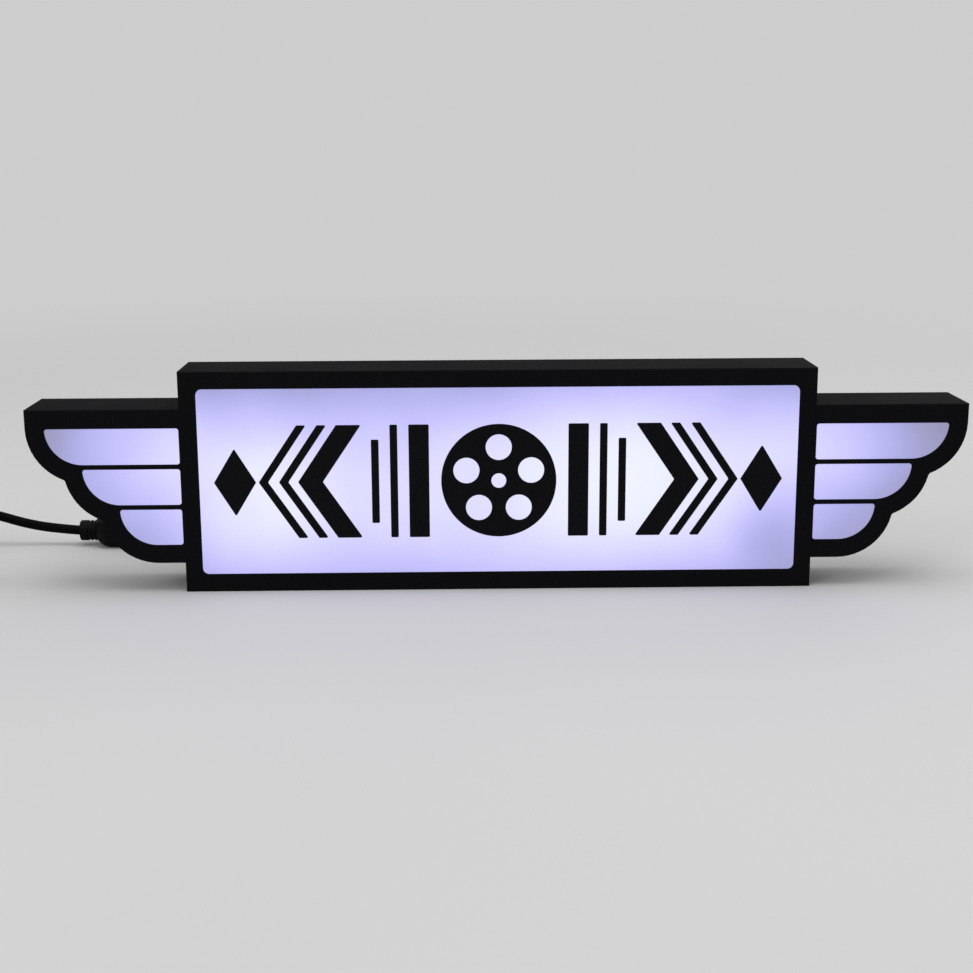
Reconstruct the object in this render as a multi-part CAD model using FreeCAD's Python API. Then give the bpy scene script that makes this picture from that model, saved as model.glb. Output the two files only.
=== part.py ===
import FreeCAD, Part
import math
import os

# Winged cinema light box: a black shell with opal windows flush in its face, lit from behind by two
# LED strips, fed by a USB lead with a rocker switch in its line.
# Millimetres. The origin is the middle of the shell's base, +X to the viewer's right, +Y to the
# back, +Z up. Everything stands on z = 0.

# ---- Shell ----
box_width = 220.0
box_height = 78.0
shell_depth = 25.0
wall = 2.4
face_thickness = 2.0
front_edge_radius = 0.5

# ---- Centre window ----
window_rim = 6.0
window_rim_bottom = 6.4
window_corner = 2.2

# ---- Wings: three stacked feathers, each with a round lower tip ----
wing_length = 53.0
wing_drop = 12.9
wing_lift = 10.5
wing_rim = 6.6
feather_count = 3
feather_bar = 1.6
feather_step_share = 0.2315
feather_root = 0.3
feather_corner = 0.9
cusp_radius = 1.2

# ---- Lenses, pushed into the windows from behind ----
lens_gap = 0.1
flange_thickness = 1.2
flange_lap = 2.6
flange_gap = 0.3
flange_corner = 1.5

# ---- Inlaid ornament, laid out on a module of one thin stroke ----
inlay_depth = 1.0
inlay_gap = 0.05
inlay_corner = 0.4
ornament_margin = 5.2
ornament_modules = 38.0
band_margin = 12.8
reel_radius = 7.7
reel_hole_radius = 1.75
reel_hole_circle = 4.55
reel_holes = 5
reel_hub_radius = 1.0
bar_starts = (9.3, 13.5, 16.0)
bar_widths = (2.7, 1.0, 1.0)
bar_shortening = (0.0, 0.0, 2.0)
chevron_starts = (18.3, 22.9, 25.6)
chevron_widths = (3.3, 1.25, 1.25)
chevron_run = 5.2
lozenge_centre = 35.2
lozenge_half_width = 2.8
lozenge_half_height = 4.6

# ---- Rear cover, let into a rebate in the shell's back edge ----
cover_thickness = 2.4
cover_ledge = 1.2
cover_gap = 0.2
keyhole_spacing = 140.0
keyhole_drop = 17.5
keyhole_entry_radius = 4.2
keyhole_neck_radius = 2.2
keyhole_rise = 7.0

# ---- Cover screws and their bosses ----
screw_inset = 5.4
boss_radius = 3.2
boss_length = 10.0
boss_taper = 4.0
screw_radius = 1.3
screw_hole_gap = 0.2
pilot_gap = 0.1
screw_head_radius = 2.6
screw_length = 8.0
pilot_depth = 8.5

# ---- LED strips on the cover's inner face ----
strip_overhang = 8.0
strip_width = 8.0
strip_thickness = 0.3
strip_clearance = 1.3
led_pitch = 16.67
led_size = 5.0
led_height = 1.6
wire_radius = 0.55
wire_pair = 1.8

# ---- Lead and its strain reliefs ----
cord_radius = 1.85
cord_bore_gap = 0.1
relief_radius = 4.0
relief_length = 6.4
relief_plain = 3.2
relief_pitch = 1.6
relief_groove = 0.35
relief_round = 0.7
gland_x = -28.0
gland_z = 13.0
gland_neck_radius = 3.9
gland_flange_radius = 5.6
gland_flange = 1.4
gland_boot = 9.6
gland_gap = 0.1
inner_cord = 10.0
tie_width = 2.5
tie_thickness = 1.1
tie_head = 4.2
tie_gap = 0.2

# ---- Rocker switch in the lead, lying on the table behind the left wing ----
lane = 42.5
switch_x = -130.0
switch_length = 52.0
switch_width = 16.0
switch_height = 11.5
switch_wall = 1.5
switch_end_wall = 3.0
switch_plan_corner = 6.0
switch_top_edge = 2.0
switch_keel = 5.0
relief_seat = 1.4
relief_neck_radius = 2.9
relief_neck_gap = 0.1
relief_flange = 1.4
cord_end = 1.0
rocker_radius = 7.2
rocker_width = 8.4
rocker_gap = 0.3
rocker_top = 4.3
rocker_valley = 3.1
rocker_floor = 2.0
rocker_cam = 2.8
rocker_cam_half = 1.2
rocker_cam_rise = 0.7
rocker_tilt = 9.0
pivot_drop = 3.2
pivot_radius = 1.0
pivot_gap = 0.06
ear_thickness = 1.8
ear_half = 2.4
ear_drop = 1.8
contact_reach = 13.5
contact_length = 5.0
contact_width = 5.0
contact_thickness = 0.4
leaf_gap = 0.15
leaf_thickness = 0.4
leaf_width = 4.0
leaf_rise = 0.7
leaf_foot = 1.0
case_screw_x = 17.0
case_screw_y = 3.5
case_screw_radius = 0.9
case_screw_head_radius = 1.6
case_screw_head = 1.0
case_screw_sink = 0.8
case_screw_reach = 3.6
post_radius = 2.2

# ---- Coil of the spare lead, its strap and the USB plug ----
coil_x = -231.0
coil_turn_outer = 24.8
coil_turn_inner = 15.2
coil_layers = 4
layer_pitch = 3.75
coil_lift = 0.9
coil_bevel = 1.1
strap_width = 7.0
strap_thickness = 0.6
strap_gap = 0.3
strap_corner = 1.0
strap_tab = 9.0
plug_x = -226.5
plug_y = -5.6
plug_z = 3.75
plug_boot_length = 8.0
plug_boot_radius = 2.6
plug_boot_grooves = 3
plug_groove_pitch = 1.6
plug_length = 20.0
plug_width = 12.4
plug_height = 7.5
plug_corner = 1.6
plug_edge = 0.8
grip_dent = 0.4
grip_dent_length = 10.0
grip_dent_width = 7.0
grip_dent_corner = 1.5
shell_width = 12.0
shell_height = 4.5
shell_wall = 0.3
shell_corner = 0.5
shell_length = 14.0
shell_slot = 2.4
shell_slot_x = 6.0
shell_slot_y = 3.0
tongue_thickness = 1.9
tongue_setback = 0.6
tongue_gap = 0.05
contact_strips = 4
contact_pitch = 2.0
contact_strip_width = 1.0
contact_strip_length = 8.0
contact_strip_thickness = 0.2

# ---- Places that follow from the sizes above ----
front = -shell_depth / 2
rear = shell_depth / 2
face_back = front + face_thickness
cover_inner = rear - cover_thickness
half_width = box_width / 2
window_half = half_width - window_rim
window_low = window_rim_bottom
window_high = box_height - window_rim
window_middle = (window_low + window_high) / 2
module = (window_half - ornament_margin) / ornament_modules
band_low = window_low + band_margin
band_high = window_high - band_margin
wing_top = box_height - wing_drop
wing_tip = half_width + wing_length
feather_step = feather_step_share * wing_length
feather_height = (
    wing_top - wing_lift - 2 * wing_rim - (feather_count - 1) * feather_bar
) / feather_count
keyhole_z = box_height - keyhole_drop
strip_half_pitch = (
    keyhole_z - keyhole_entry_radius - strip_clearance - strip_width / 2 - window_middle
)
strip_half_length = half_width + strip_overhang
gland_tip = rear + gland_flange + gland_boot
lane_y = rear + lane
switch_axis = switch_height / 2
switch_left = switch_x - switch_length / 2
switch_right = switch_x + switch_length / 2
relief_flange_radius = switch_axis - switch_wall - relief_neck_gap
pivot_z = switch_height - pivot_drop
leaf_top = pivot_z - rocker_cam - leaf_gap
contact_height = leaf_top - leaf_thickness - leaf_rise - switch_wall
coil_y = lane_y - coil_turn_outer
coil_top_turn = coil_lift + cord_radius + (coil_layers - 1) * layer_pitch

# ---- Routes of the lead, by hand: box to switch, switch to coil, coil to plug ----
route_to_switch = [
    (gland_x, gland_tip, gland_z),
    (gland_x, lane_y - 19.5, 12.6),
    (gland_x - 2.4, lane_y - 10.2, 10.6),
    (gland_x - 8.6, lane_y - 2.6, 7.6),
    (gland_x - 17.6, lane_y + 2.2, 4.8),
    (gland_x - 28.4, lane_y + 3.9, 2.9),
    (gland_x - 40.6, lane_y + 2.6, 2.4),
    (gland_x - 54.0, lane_y + 0.3, 3.9),
    (switch_right + relief_length, lane_y, switch_axis),
]
route_to_coil = [
    (switch_left - relief_length, lane_y, switch_axis),
    (-172.5, lane_y, 6.6),
    (-183.5, lane_y, 8.6),
    (-195.0, lane_y, 12.2),
    (-206.5, lane_y - 0.1, 14.9),
    (-218.5, lane_y + 0.1, 14.9),
    (coil_x, lane_y, coil_top_turn),
]
route_to_plug = [
    (coil_x - coil_turn_outer, coil_y, coil_lift + cord_radius),
    (coil_x - coil_turn_outer - 0.5, coil_y - 9.2, 2.4),
    (coil_x - coil_turn_outer + 0.5, coil_y - 18.3, 2.1),
    (coil_x - coil_turn_outer + 4.7, coil_y - 26.5, 2.0),
    (coil_x - coil_turn_outer + 11.5, coil_y - 32.7, 2.5),
    (plug_x - 9.2, plug_y, plug_z),
    (plug_x, plug_y, plug_z),
]

os.makedirs("parts", exist_ok=True)


def save(name, *solids):
    """Writes one node. Several solids in one node stay separate."""
    shape = solids[0] if len(solids) == 1 else Part.makeCompound(list(solids))
    shape.exportStep(f"parts/{name}.step")
    print(f"{name}: {len(shape.Solids)} solid(s), {shape.Volume:.1f} mm3")


def at(x, y, z):
    return FreeCAD.Vector(x, y, z)


def line(a, b):
    return Part.LineSegment(a, b).toShape()


def arc(a, middle, b):
    return Part.Arc(a, middle, b).toShape()


def block(x_low, x_high, y_low, y_high, z_low, z_high):
    return Part.makeBox(x_high - x_low, y_high - y_low, z_high - z_low, at(x_low, y_low, z_low))


def plate(edges, y_low, y_high):
    """A closed outline of edges, drawn at any depth, as a plate from y_low to y_high."""
    wire = Part.Wire(edges)
    wire.translate(at(0, y_low - wire.Vertexes[0].Y, 0))
    return Part.Face(wire).extrude(at(0, y_high - y_low, 0))


def polygon(points, y_low, y_high):
    """A plate from straight-sided corners (x, z)."""
    corners = [at(x, 0, z) for x, z in points]
    edges = [line(a, b) for a, b in zip(corners, corners[1:] + corners[:1])]
    return plate(edges, y_low, y_high)


def upright(edge, direction):
    """True for a straight edge along the direction."""
    if not isinstance(edge.Curve, (Part.Line, Part.LineSegment)):
        return False
    return abs(abs(edge.tangentAt(edge.FirstParameter).dot(direction)) - 1) < 1e-6


def rounded(solid, radius, direction=FreeCAD.Vector(0, 1, 0)):
    """Rounds every edge that runs along the direction."""
    return solid.makeFillet(radius, [e for e in solid.Edges if upright(e, direction)])


def mirrored(shape):
    return shape.mirror(at(0, 0, 0), at(1, 0, 0))


def turned(points, start, axis):
    """A solid of revolution: points are (along the axis, radius) and start is on the axis."""
    side = at(1, 0, 0) if abs(axis.z) > 0.5 else at(0, 0, 1)
    corners = [start + axis * along + side * radius for along, radius in points]
    edges = [line(a, b) for a, b in zip(corners, corners[1:] + corners[:1])]
    return Part.Face(Part.Wire(edges)).revolve(start, axis, 360)


# ---- Shell ----
def feather_arc(index, radius):
    """Centre of a feather's round tip, and the tip's start, middle and end at that radius."""
    x = wing_tip - wing_rim - feather_height - index * feather_step
    z = wing_top - wing_rim - index * (feather_height + feather_bar)
    centre = at(x, 0, z)
    half = math.sqrt(0.5)
    return (
        centre,
        centre + at(radius, 0, 0),
        centre + at(half * radius, 0, -half * radius),
        centre + at(0, 0, -radius),
    )


def cusp(upper, lower, radius, fillet):
    """Centre of the small round that joins two neighbouring tips from outside."""
    middle = (upper + lower) * 0.5
    along = (lower - upper).normalize()
    outward = at(-along.z, 0, along.x)
    reach = math.sqrt((radius + fillet) ** 2 - upper.distanceToPoint(lower) ** 2 / 4)
    return middle + outward * reach


def wing_outline(inset, root):
    """The right wing's edge, moved inwards by the inset, closed at x = root."""
    radius = wing_rim + feather_height - inset
    fillet = cusp_radius + inset
    top = wing_top - inset
    tips = [feather_arc(i, radius) for i in range(feather_count)]
    edges = [line(at(root, 0, top), at(tips[0][1].x, 0, top))]
    edges.append(line(at(tips[0][1].x, 0, top), tips[0][1]))
    begin = tips[0][1]
    for upper, lower in zip(tips, tips[1:]):
        hub = cusp(upper[0], lower[0], radius, fillet)
        leave = upper[0] + (hub - upper[0]).normalize() * radius
        meet = lower[0] + (hub - lower[0]).normalize() * radius
        inner = hub + ((upper[0] + lower[0]) * 0.5 - hub).normalize() * fillet
        bulge = upper[0] + (begin + leave - upper[0] * 2).normalize() * radius
        edges += [arc(begin, bulge, leave), arc(leave, inner, meet)]
        begin = meet
    last = tips[-1]
    bulge = last[0] + (begin + last[3] - last[0] * 2).normalize() * radius
    edges.append(arc(begin, bulge, last[3]))
    edges.append(line(last[3], at(root, 0, last[3].z)))
    edges.append(line(at(root, 0, last[3].z), at(root, 0, top)))
    return edges


def silhouette(inset, y_low, y_high):
    """Box and both wings as one plate, moved inwards by the inset."""
    root = half_width - wall - wing_rim
    body = block(
        -half_width + inset, half_width - inset, y_low, y_high, inset, box_height - inset
    )
    wing = plate(wing_outline(inset, root), y_low, y_high)
    return body.fuse([wing, mirrored(wing)]).removeSplitter()


def centre_window(gap, y_low, y_high):
    hole = block(
        -window_half + gap,
        window_half - gap,
        y_low,
        y_high,
        window_low + gap,
        window_high - gap,
    )
    return rounded(hole, window_corner - gap)


def feather_window(index, gap, y_low, y_high):
    """One feather of the right wing: square root, quarter-round tip."""
    centre, tip, middle, end = feather_arc(index, feather_height - gap)
    root = half_width + feather_root + gap
    top = centre.z - gap
    shoulder = at(centre.x + math.sqrt((feather_height - gap) ** 2 - gap**2), 0, top)
    edges = [
        line(at(root, 0, top), shoulder),
        arc(shoulder, middle, end),
        line(end, at(root, 0, end.z)),
        line(at(root, 0, end.z), at(root, 0, top)),
    ]
    feather = plate(edges, y_low, y_high)
    corners = [
        e
        for e in feather.Edges
        if upright(e, at(0, 1, 0)) and abs(e.CenterOfMass.x - centre.x) > 1
    ]
    return feather.makeFillet(feather_corner - gap, corners)


def screw_places():
    """Cover screws at the box's corners, mid top and bottom, and each wing's tip, as (x, z)."""
    corner_x = half_width - screw_inset
    high = box_height - screw_inset
    wing_x = wing_tip - screw_inset - 0.7
    wing_z = wing_top - screw_inset
    right = [(corner_x, screw_inset), (corner_x, high), (wing_x, wing_z)]
    left = [(-x, z) for x, z in right]
    return right + left + [(0.0, screw_inset), (0.0, high)]


def boss(x, z):
    """A screw boss on the wall, its inner end cut at a slant so that it grows out of the wall."""
    start = cover_inner - boss_length
    post = Part.makeCylinder(boss_radius, boss_length, at(x, start, z), at(0, 1, 0))
    out = math.copysign(boss_radius, z - window_middle)
    corners = [
        at(x - boss_radius, start, z - out),
        at(x - boss_radius, start, z + out),
        at(x - boss_radius, start + boss_taper, z - out),
    ]
    slant = Part.Face(Part.makePolygon(corners + corners[:1])).extrude(at(2 * boss_radius, 0, 0))
    return post.cut(slant)


def casing():
    shell = silhouette(0, front, rear)
    edges = [e for e in shell.Edges if abs(e.BoundBox.YMax - front) < 1e-6]
    shell = shell.makeFillet(front_edge_radius, edges)
    outside = silhouette(0, face_back, rear)
    shell = shell.cut(silhouette(wall, face_back, rear))
    shell = shell.cut(silhouette(wall - cover_ledge, cover_inner, rear))
    bosses = [boss(x, z).common(outside) for x, z in screw_places()]
    shell = shell.fuse(bosses)
    holes = [centre_window(0, front, face_back)]
    for i in range(feather_count):
        hole = feather_window(i, 0, front, face_back)
        holes += [hole, mirrored(hole)]
    for x, z in screw_places():
        pilot = Part.makeCylinder(
            screw_radius + pilot_gap,
            pilot_depth,
            at(x, cover_inner - pilot_depth, z),
            at(0, 1, 0),
        )
        holes.append(pilot)
    return shell.cut(holes).removeSplitter()


# ---- Rear cover and screws ----
def keyhole(x):
    entry = Part.makeCylinder(
        keyhole_entry_radius, cover_thickness, at(x, cover_inner, keyhole_z), at(0, 1, 0)
    )
    top = keyhole_z + keyhole_rise
    neck = block(
        x - keyhole_neck_radius, x + keyhole_neck_radius, cover_inner, rear, keyhole_z, top
    )
    end = Part.makeCylinder(keyhole_neck_radius, cover_thickness, at(x, cover_inner, top), at(0, 1, 0))
    return entry.fuse([neck, end]).removeSplitter()


def head_cone(x, z, gap):
    """The countersink of a flat screw head, flush with the cover's outer face."""
    depth = screw_head_radius - screw_radius
    return Part.makeCone(
        screw_radius + gap, screw_head_radius + gap, depth, at(x, rear - depth, z), at(0, 1, 0)
    )


def rear_cover():
    cover = silhouette(wall - cover_ledge + cover_gap, cover_inner, rear)
    cuts = [keyhole(side * keyhole_spacing / 2) for side in (-1, 1)]
    for x, z in screw_places():
        cuts.append(head_cone(x, z, screw_hole_gap))
        cuts.append(
            Part.makeCylinder(
                screw_radius + screw_hole_gap, cover_thickness, at(x, cover_inner, z), at(0, 1, 0)
            )
        )
    cuts.append(
        Part.makeCylinder(
            gland_neck_radius + gland_gap,
            cover_thickness,
            at(gland_x, cover_inner, gland_z),
            at(0, 1, 0),
        )
    )
    return cover.cut(cuts)


def cover_screw(x, z):
    shank = Part.makeCylinder(screw_radius, screw_length, at(x, rear - screw_length, z), at(0, 1, 0))
    return shank.fuse(head_cone(x, z, 0)).removeSplitter()


# ---- Ornament: a reel between bars, chevrons and lozenges ----
def reel(grow):
    """A film reel: a disc with a ring of round holes about its hub. Grow is its extra all round."""
    back = front + inlay_depth
    disc = Part.makeCylinder(
        reel_radius * module + grow, inlay_depth, at(0, front, window_middle), at(0, 1, 0)
    )
    holes = [(0.0, 0.0, reel_hub_radius)]
    for i in range(reel_holes):
        angle = math.radians(90 + 360 * i / reel_holes)
        circle = reel_hole_circle * module
        holes.append((circle * math.cos(angle), circle * math.sin(angle), reel_hole_radius))
    cuts = [
        Part.makeCylinder(
            radius * module - grow, back - front, at(x, front, window_middle + z), at(0, 1, 0)
        )
        for x, z, radius in holes
    ]
    return disc.cut(cuts)


def grown(points, grow):
    """Straight-sided corners (x, z), clockwise seen from the front, moved outwards by grow."""
    if not grow:
        return points
    moved = []
    for before, here, after in zip(points[-1:] + points[:-1], points, points[1:] + points[:1]):
        a = at(here[0] - before[0], 0, here[1] - before[1]).normalize()
        b = at(after[0] - here[0], 0, after[1] - here[1]).normalize()
        bisector = at(-a.z - b.z, 0, a.x + b.x)
        scale = grow / (1 + a.dot(b))
        moved.append((here[0] + bisector.x * scale, here[1] + bisector.z * scale))
    return moved


def inlay(points, grow):
    solid = polygon(grown(points, grow), front, front + inlay_depth)
    return rounded(solid, inlay_corner)


def bars(grow):
    """Upright bars beside the reel, thick to thin, the last one shorter."""
    made = []
    for start, width, less in zip(bar_starts, bar_widths, bar_shortening):
        x_low = start * module
        x_high = (start + width) * module
        z_low = band_low + less * module
        z_high = band_high - less * module
        points = [(x_low, z_low), (x_low, z_high), (x_high, z_high), (x_high, z_low)]
        made.append(inlay(points, grow))
    return made


def chevrons(grow):
    """Chevrons that point outwards, one bold and two fine."""
    run = chevron_run * module
    made = []
    for start, width in zip(chevron_starts, chevron_widths):
        x = start * module
        across = width * module
        points = [
            (x, band_low),
            (x + run, window_middle),
            (x, band_high),
            (x + across, band_high),
            (x + across + run, window_middle),
            (x + across, band_low),
        ]
        made.append(inlay(points, grow))
    return made


def lozenge(grow):
    x = lozenge_centre * module
    half_wide = lozenge_half_width * module
    half_high = lozenge_half_height * module
    points = [
        (x - half_wide, window_middle),
        (x, window_middle + half_high),
        (x + half_wide, window_middle),
        (x, window_middle - half_high),
    ]
    return [inlay(points, grow)]


# ---- Lenses ----
def centre_lens():
    """An opal sheet with a step that fills the window and pockets for the ornament."""
    flange = block(
        -window_half - flange_lap,
        window_half + flange_lap,
        face_back,
        face_back + flange_thickness,
        window_low - flange_lap,
        window_high + flange_lap,
    )
    lens = centre_window(lens_gap, front, face_back).fuse(rounded(flange, flange_corner))
    pockets = [reel(inlay_gap)]
    for shape in bars(inlay_gap) + chevrons(inlay_gap) + lozenge(inlay_gap):
        pockets += [shape, mirrored(shape)]
    return lens.cut(pockets)


def wing_lens():
    """One opal sheet behind the right wing, with three steps that fill its feathers."""
    root = window_half + flange_lap + 2 * flange_gap
    sheet = plate(
        wing_outline(wall + flange_gap, root), face_back, face_back + flange_thickness
    )
    steps = [
        feather_window(i, lens_gap, front, face_back) for i in range(feather_count)
    ]
    return sheet.fuse(steps)


# ---- LED strips and wires ----
def led_strip(z):
    return block(
        -strip_half_length,
        strip_half_length,
        cover_inner - strip_thickness,
        cover_inner,
        z - strip_width / 2,
        z + strip_width / 2,
    )


def led_chips(z):
    count = int((2 * strip_half_length - led_size) / led_pitch) + 1
    first = -(count - 1) * led_pitch / 2
    y_high = cover_inner - strip_thickness
    half = led_size / 2
    return [
        block(x - half, x + half, y_high - led_height, y_high, z - half, z + half)
        for x in [first + i * led_pitch for i in range(count)]
    ]


def tube(name, points, radius):
    """A tube along straight runs joined by tangent arcs, each as large as its runs allow."""
    path = [at(*p) for p in points]
    edges = []
    radii = []
    begin = path[0]
    for before, here, after in zip(path, path[1:], path[2:]):
        back = (before - here).normalize()
        ahead = (after - here).normalize()
        half_turn = (math.pi - back.getAngle(ahead)) / 2
        trim = 0.45 * min(before.distanceToPoint(here), here.distanceToPoint(after))
        bend = trim / math.tan(half_turn)
        radii.append(bend)
        enter = here + back * trim
        leave = here + ahead * trim
        centre = here + (back + ahead).normalize() * (bend / math.cos(half_turn))
        middle = centre + (here - centre).normalize() * bend
        edges += [line(begin, enter), arc(enter, middle, leave)]
        begin = leave
    edges.append(line(begin, path[-1]))
    spine = Part.Wire(edges)
    section = Part.Wire([Part.makeCircle(radius, path[0], path[1] - path[0])])
    solid = spine.makePipeShell([section], True, False)
    full = math.pi * radius**2 * spine.Length
    share = solid.Volume / full
    print(f"{name}: {spine.Length:.1f} mm, radii {[round(r, 1) for r in radii]}, volume {share:.4f}")
    return solid


def supply_wires():
    """Two conductors from the lead's inner end up to the lower strip."""
    end = rear - inner_cord
    pad = cover_inner - strip_thickness - wire_radius
    strip_edge = window_middle - strip_half_pitch - strip_width / 2
    made = []
    for side in (-1, 1):
        x = gland_x + side * wire_pair / 2
        points = [
            (x, end, gland_z),
            (x, end - 4.5, gland_z),
            (x, pad - 3.0, strip_edge - 3.0),
            (x, pad, strip_edge + 1.0),
        ]
        made.append(tube("supply wire", points, wire_radius))
    return made


def strip_jumpers():
    """Two wires round from the lower strip's left end to the upper strip's."""
    y = cover_inner - strip_thickness - wire_radius
    low = window_middle - strip_half_pitch
    high = window_middle + strip_half_pitch
    made = []
    for side in (-1, 1):
        reach = strip_half_length + 4.0 + side * wire_pair / 2
        shift = side * wire_pair / 2
        points = [
            (-strip_half_length + 2.0, y, low - shift),
            (-reach, y, low - shift),
            (-reach, y, high + shift),
            (-strip_half_length + 2.0, y, high + shift),
        ]
        made.append(tube("jumper", points, wire_radius))
    return made


# ---- Lead ----
def ridged(length, bore):
    """Profile of a strain relief from its tip: a plain round collar, then grooves."""
    groove = relief_pitch / 2
    points = [(0, bore), (0, relief_radius - relief_round), (relief_round, relief_radius)]
    for i in range(round((length - relief_plain) / relief_pitch)):
        start = relief_plain + i * relief_pitch
        points += [
            (start, relief_radius),
            (start, relief_radius - relief_groove),
            (start + groove, relief_radius - relief_groove),
            (start + groove, relief_radius),
        ]
    points.append((length, relief_radius))
    return points


def cord_gland():
    """A rubber bush snapped into the cover, with a ridged boot outside."""
    bore = cord_radius + cord_bore_gap
    points = ridged(gland_boot, bore)
    base = gland_boot + gland_flange
    inner = base + cover_thickness
    points += [
        (gland_boot, gland_flange_radius),
        (base, gland_flange_radius),
        (base, gland_neck_radius),
        (inner, gland_neck_radius),
        (inner, gland_flange_radius),
        (inner + gland_flange, gland_flange_radius),
        (inner + gland_flange, bore),
    ]
    return turned(points, at(gland_x, gland_tip, gland_z), at(0, -1, 0))


def cord_inner():
    """The lead's last stretch, through the gland and into the box."""
    length = gland_tip - rear + inner_cord
    return Part.makeCylinder(
        cord_radius, length, at(gland_x, gland_tip - length, gland_z), at(0, 1, 0)
    )


def cord_tie():
    """A cable tie pulled tight on the lead inside the cover, so that it can't be drawn out."""
    high = cover_inner - gland_flange - tie_gap
    low = high - tie_width
    bore = cord_radius + cord_bore_gap
    ring = Part.makeCylinder(bore + tie_thickness, tie_width, at(gland_x, low, gland_z), at(0, 1, 0))
    half = tie_head / 2
    head = block(
        gland_x - half, gland_x + half, low, high, gland_z - bore - tie_thickness - half, gland_z
    )
    hole = Part.makeCylinder(bore, tie_width, at(gland_x, low, gland_z), at(0, 1, 0))
    return ring.fuse(head).cut(hole).removeSplitter()


# ---- In-line switch ----
def level_edges(solid, z):
    """The solid's edges that lie flat at one height."""
    return [e for e in solid.Edges if e.BoundBox.ZLength < 1e-6 and abs(e.BoundBox.ZMin - z) < 1e-6]


def switch_body():
    """The whole closed case: rounded in plan, a soft top edge and a rounded underside."""
    case = block(
        switch_left,
        switch_right,
        lane_y - switch_width / 2,
        lane_y + switch_width / 2,
        0,
        switch_height,
    )
    case = rounded(case, switch_plan_corner, at(0, 0, 1))
    for z, radius in ((0, switch_keel), (switch_height, switch_top_edge)):
        case = case.makeFillet(radius, level_edges(case, z))
    return case


def relief_seats():
    """Room for both strain reliefs: a counterbore, the neck's bore and the flange's pocket."""
    pocket = relief_flange + relief_neck_gap
    seats = [
        (switch_left, switch_length, relief_neck_radius),
        (switch_left, relief_seat, relief_radius),
        (switch_right - relief_seat, relief_seat, relief_radius),
        (switch_left + switch_end_wall, pocket, relief_flange_radius),
        (switch_right - switch_end_wall - pocket, pocket, relief_flange_radius),
    ]
    return [
        Part.makeCylinder(radius + relief_neck_gap, length, at(x, lane_y, switch_axis), at(1, 0, 0))
        for x, length, radius in seats
    ]


def switch_half(low):
    """One half of the case, hollow, with half-round seats for the strain reliefs."""
    z_low = 0 if low else switch_axis
    z_high = switch_axis if low else switch_height
    keep = block(
        switch_left, switch_right, lane_y - switch_width, lane_y + switch_width, z_low, z_high
    )
    hollow = block(
        switch_left + switch_end_wall,
        switch_right - switch_end_wall,
        lane_y - switch_width / 2 + switch_wall,
        lane_y + switch_width / 2 - switch_wall,
        switch_wall,
        switch_height - switch_wall,
    )
    hollow = rounded(hollow, switch_plan_corner - switch_wall, at(0, 0, 1))
    hollow = hollow.makeFillet(switch_keel - switch_wall, level_edges(hollow, switch_wall))
    half = switch_body().common(keep).cut([hollow] + relief_seats())
    floor = switch_wall / 2 if low else switch_axis
    ceiling = switch_axis if low else switch_height - switch_wall / 2
    posts = [
        Part.makeCylinder(post_radius, ceiling - floor, at(x, y, floor), at(0, 0, 1))
        for x, y in case_screws()
    ]
    return half.fuse(posts).common(switch_body())


def case_screws():
    """The case's two screws, at opposite corners, as (x, y)."""
    return [
        (switch_x - case_screw_x, lane_y - case_screw_y),
        (switch_x + case_screw_x, lane_y + case_screw_y),
    ]


def switch_base():
    base = switch_half(True)
    for x, y in case_screws():
        clear = case_screw_radius + screw_hole_gap
        head = case_screw_head_radius + screw_hole_gap
        base = base.cut(Part.makeCylinder(clear, switch_axis, at(x, y, 0), at(0, 0, 1)))
        sunk = case_screw_sink + case_screw_head
        base = base.cut(Part.makeCylinder(head, sunk, at(x, y, 0), at(0, 0, 1)))
    return base.removeSplitter()


def switch_lid():
    """The upper half, with the rocker's window and two ears that carry its pivot."""
    lid = switch_half(False)
    inner = rocker_width / 2 + rocker_gap
    ears = [
        block(
            switch_x - ear_half,
            switch_x + ear_half,
            min(lane_y + side * inner, lane_y + side * (inner + ear_thickness)),
            max(lane_y + side * inner, lane_y + side * (inner + ear_thickness)),
            pivot_z - ear_drop,
            switch_height - switch_wall / 2,
        )
        for side in (-1, 1)
    ]
    lid = lid.fuse(ears)
    window = block(
        switch_x - rocker_radius - rocker_gap,
        switch_x + rocker_radius + rocker_gap,
        lane_y - inner,
        lane_y + inner,
        switch_height - switch_wall,
        switch_height,
    )
    axle = Part.makeCylinder(
        pivot_radius + pivot_gap,
        2 * (inner + ear_thickness),
        at(switch_x, lane_y - inner - ear_thickness, pivot_z),
        at(0, 1, 0),
    )
    lid = lid.cut([window, axle])
    for x, y in case_screws():
        pilot = case_screw_radius + pilot_gap
        lid = lid.cut(Part.makeCylinder(pilot, case_screw_reach, at(x, y, switch_axis), at(0, 0, 1)))
    return lid.removeSplitter()


def switch_screws():
    """Two screws up through the base into the lid's posts."""
    made = []
    for x, y in case_screws():
        foot = at(x, y, case_screw_sink)
        head = Part.makeCylinder(case_screw_head_radius, case_screw_head, foot, at(0, 0, 1))
        length = switch_axis + case_screw_reach - pilot_gap - case_screw_sink
        shank = Part.makeCylinder(case_screw_radius, length, foot, at(0, 0, 1))
        made.append(head.fuse(shank).removeSplitter())
    return made


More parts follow.
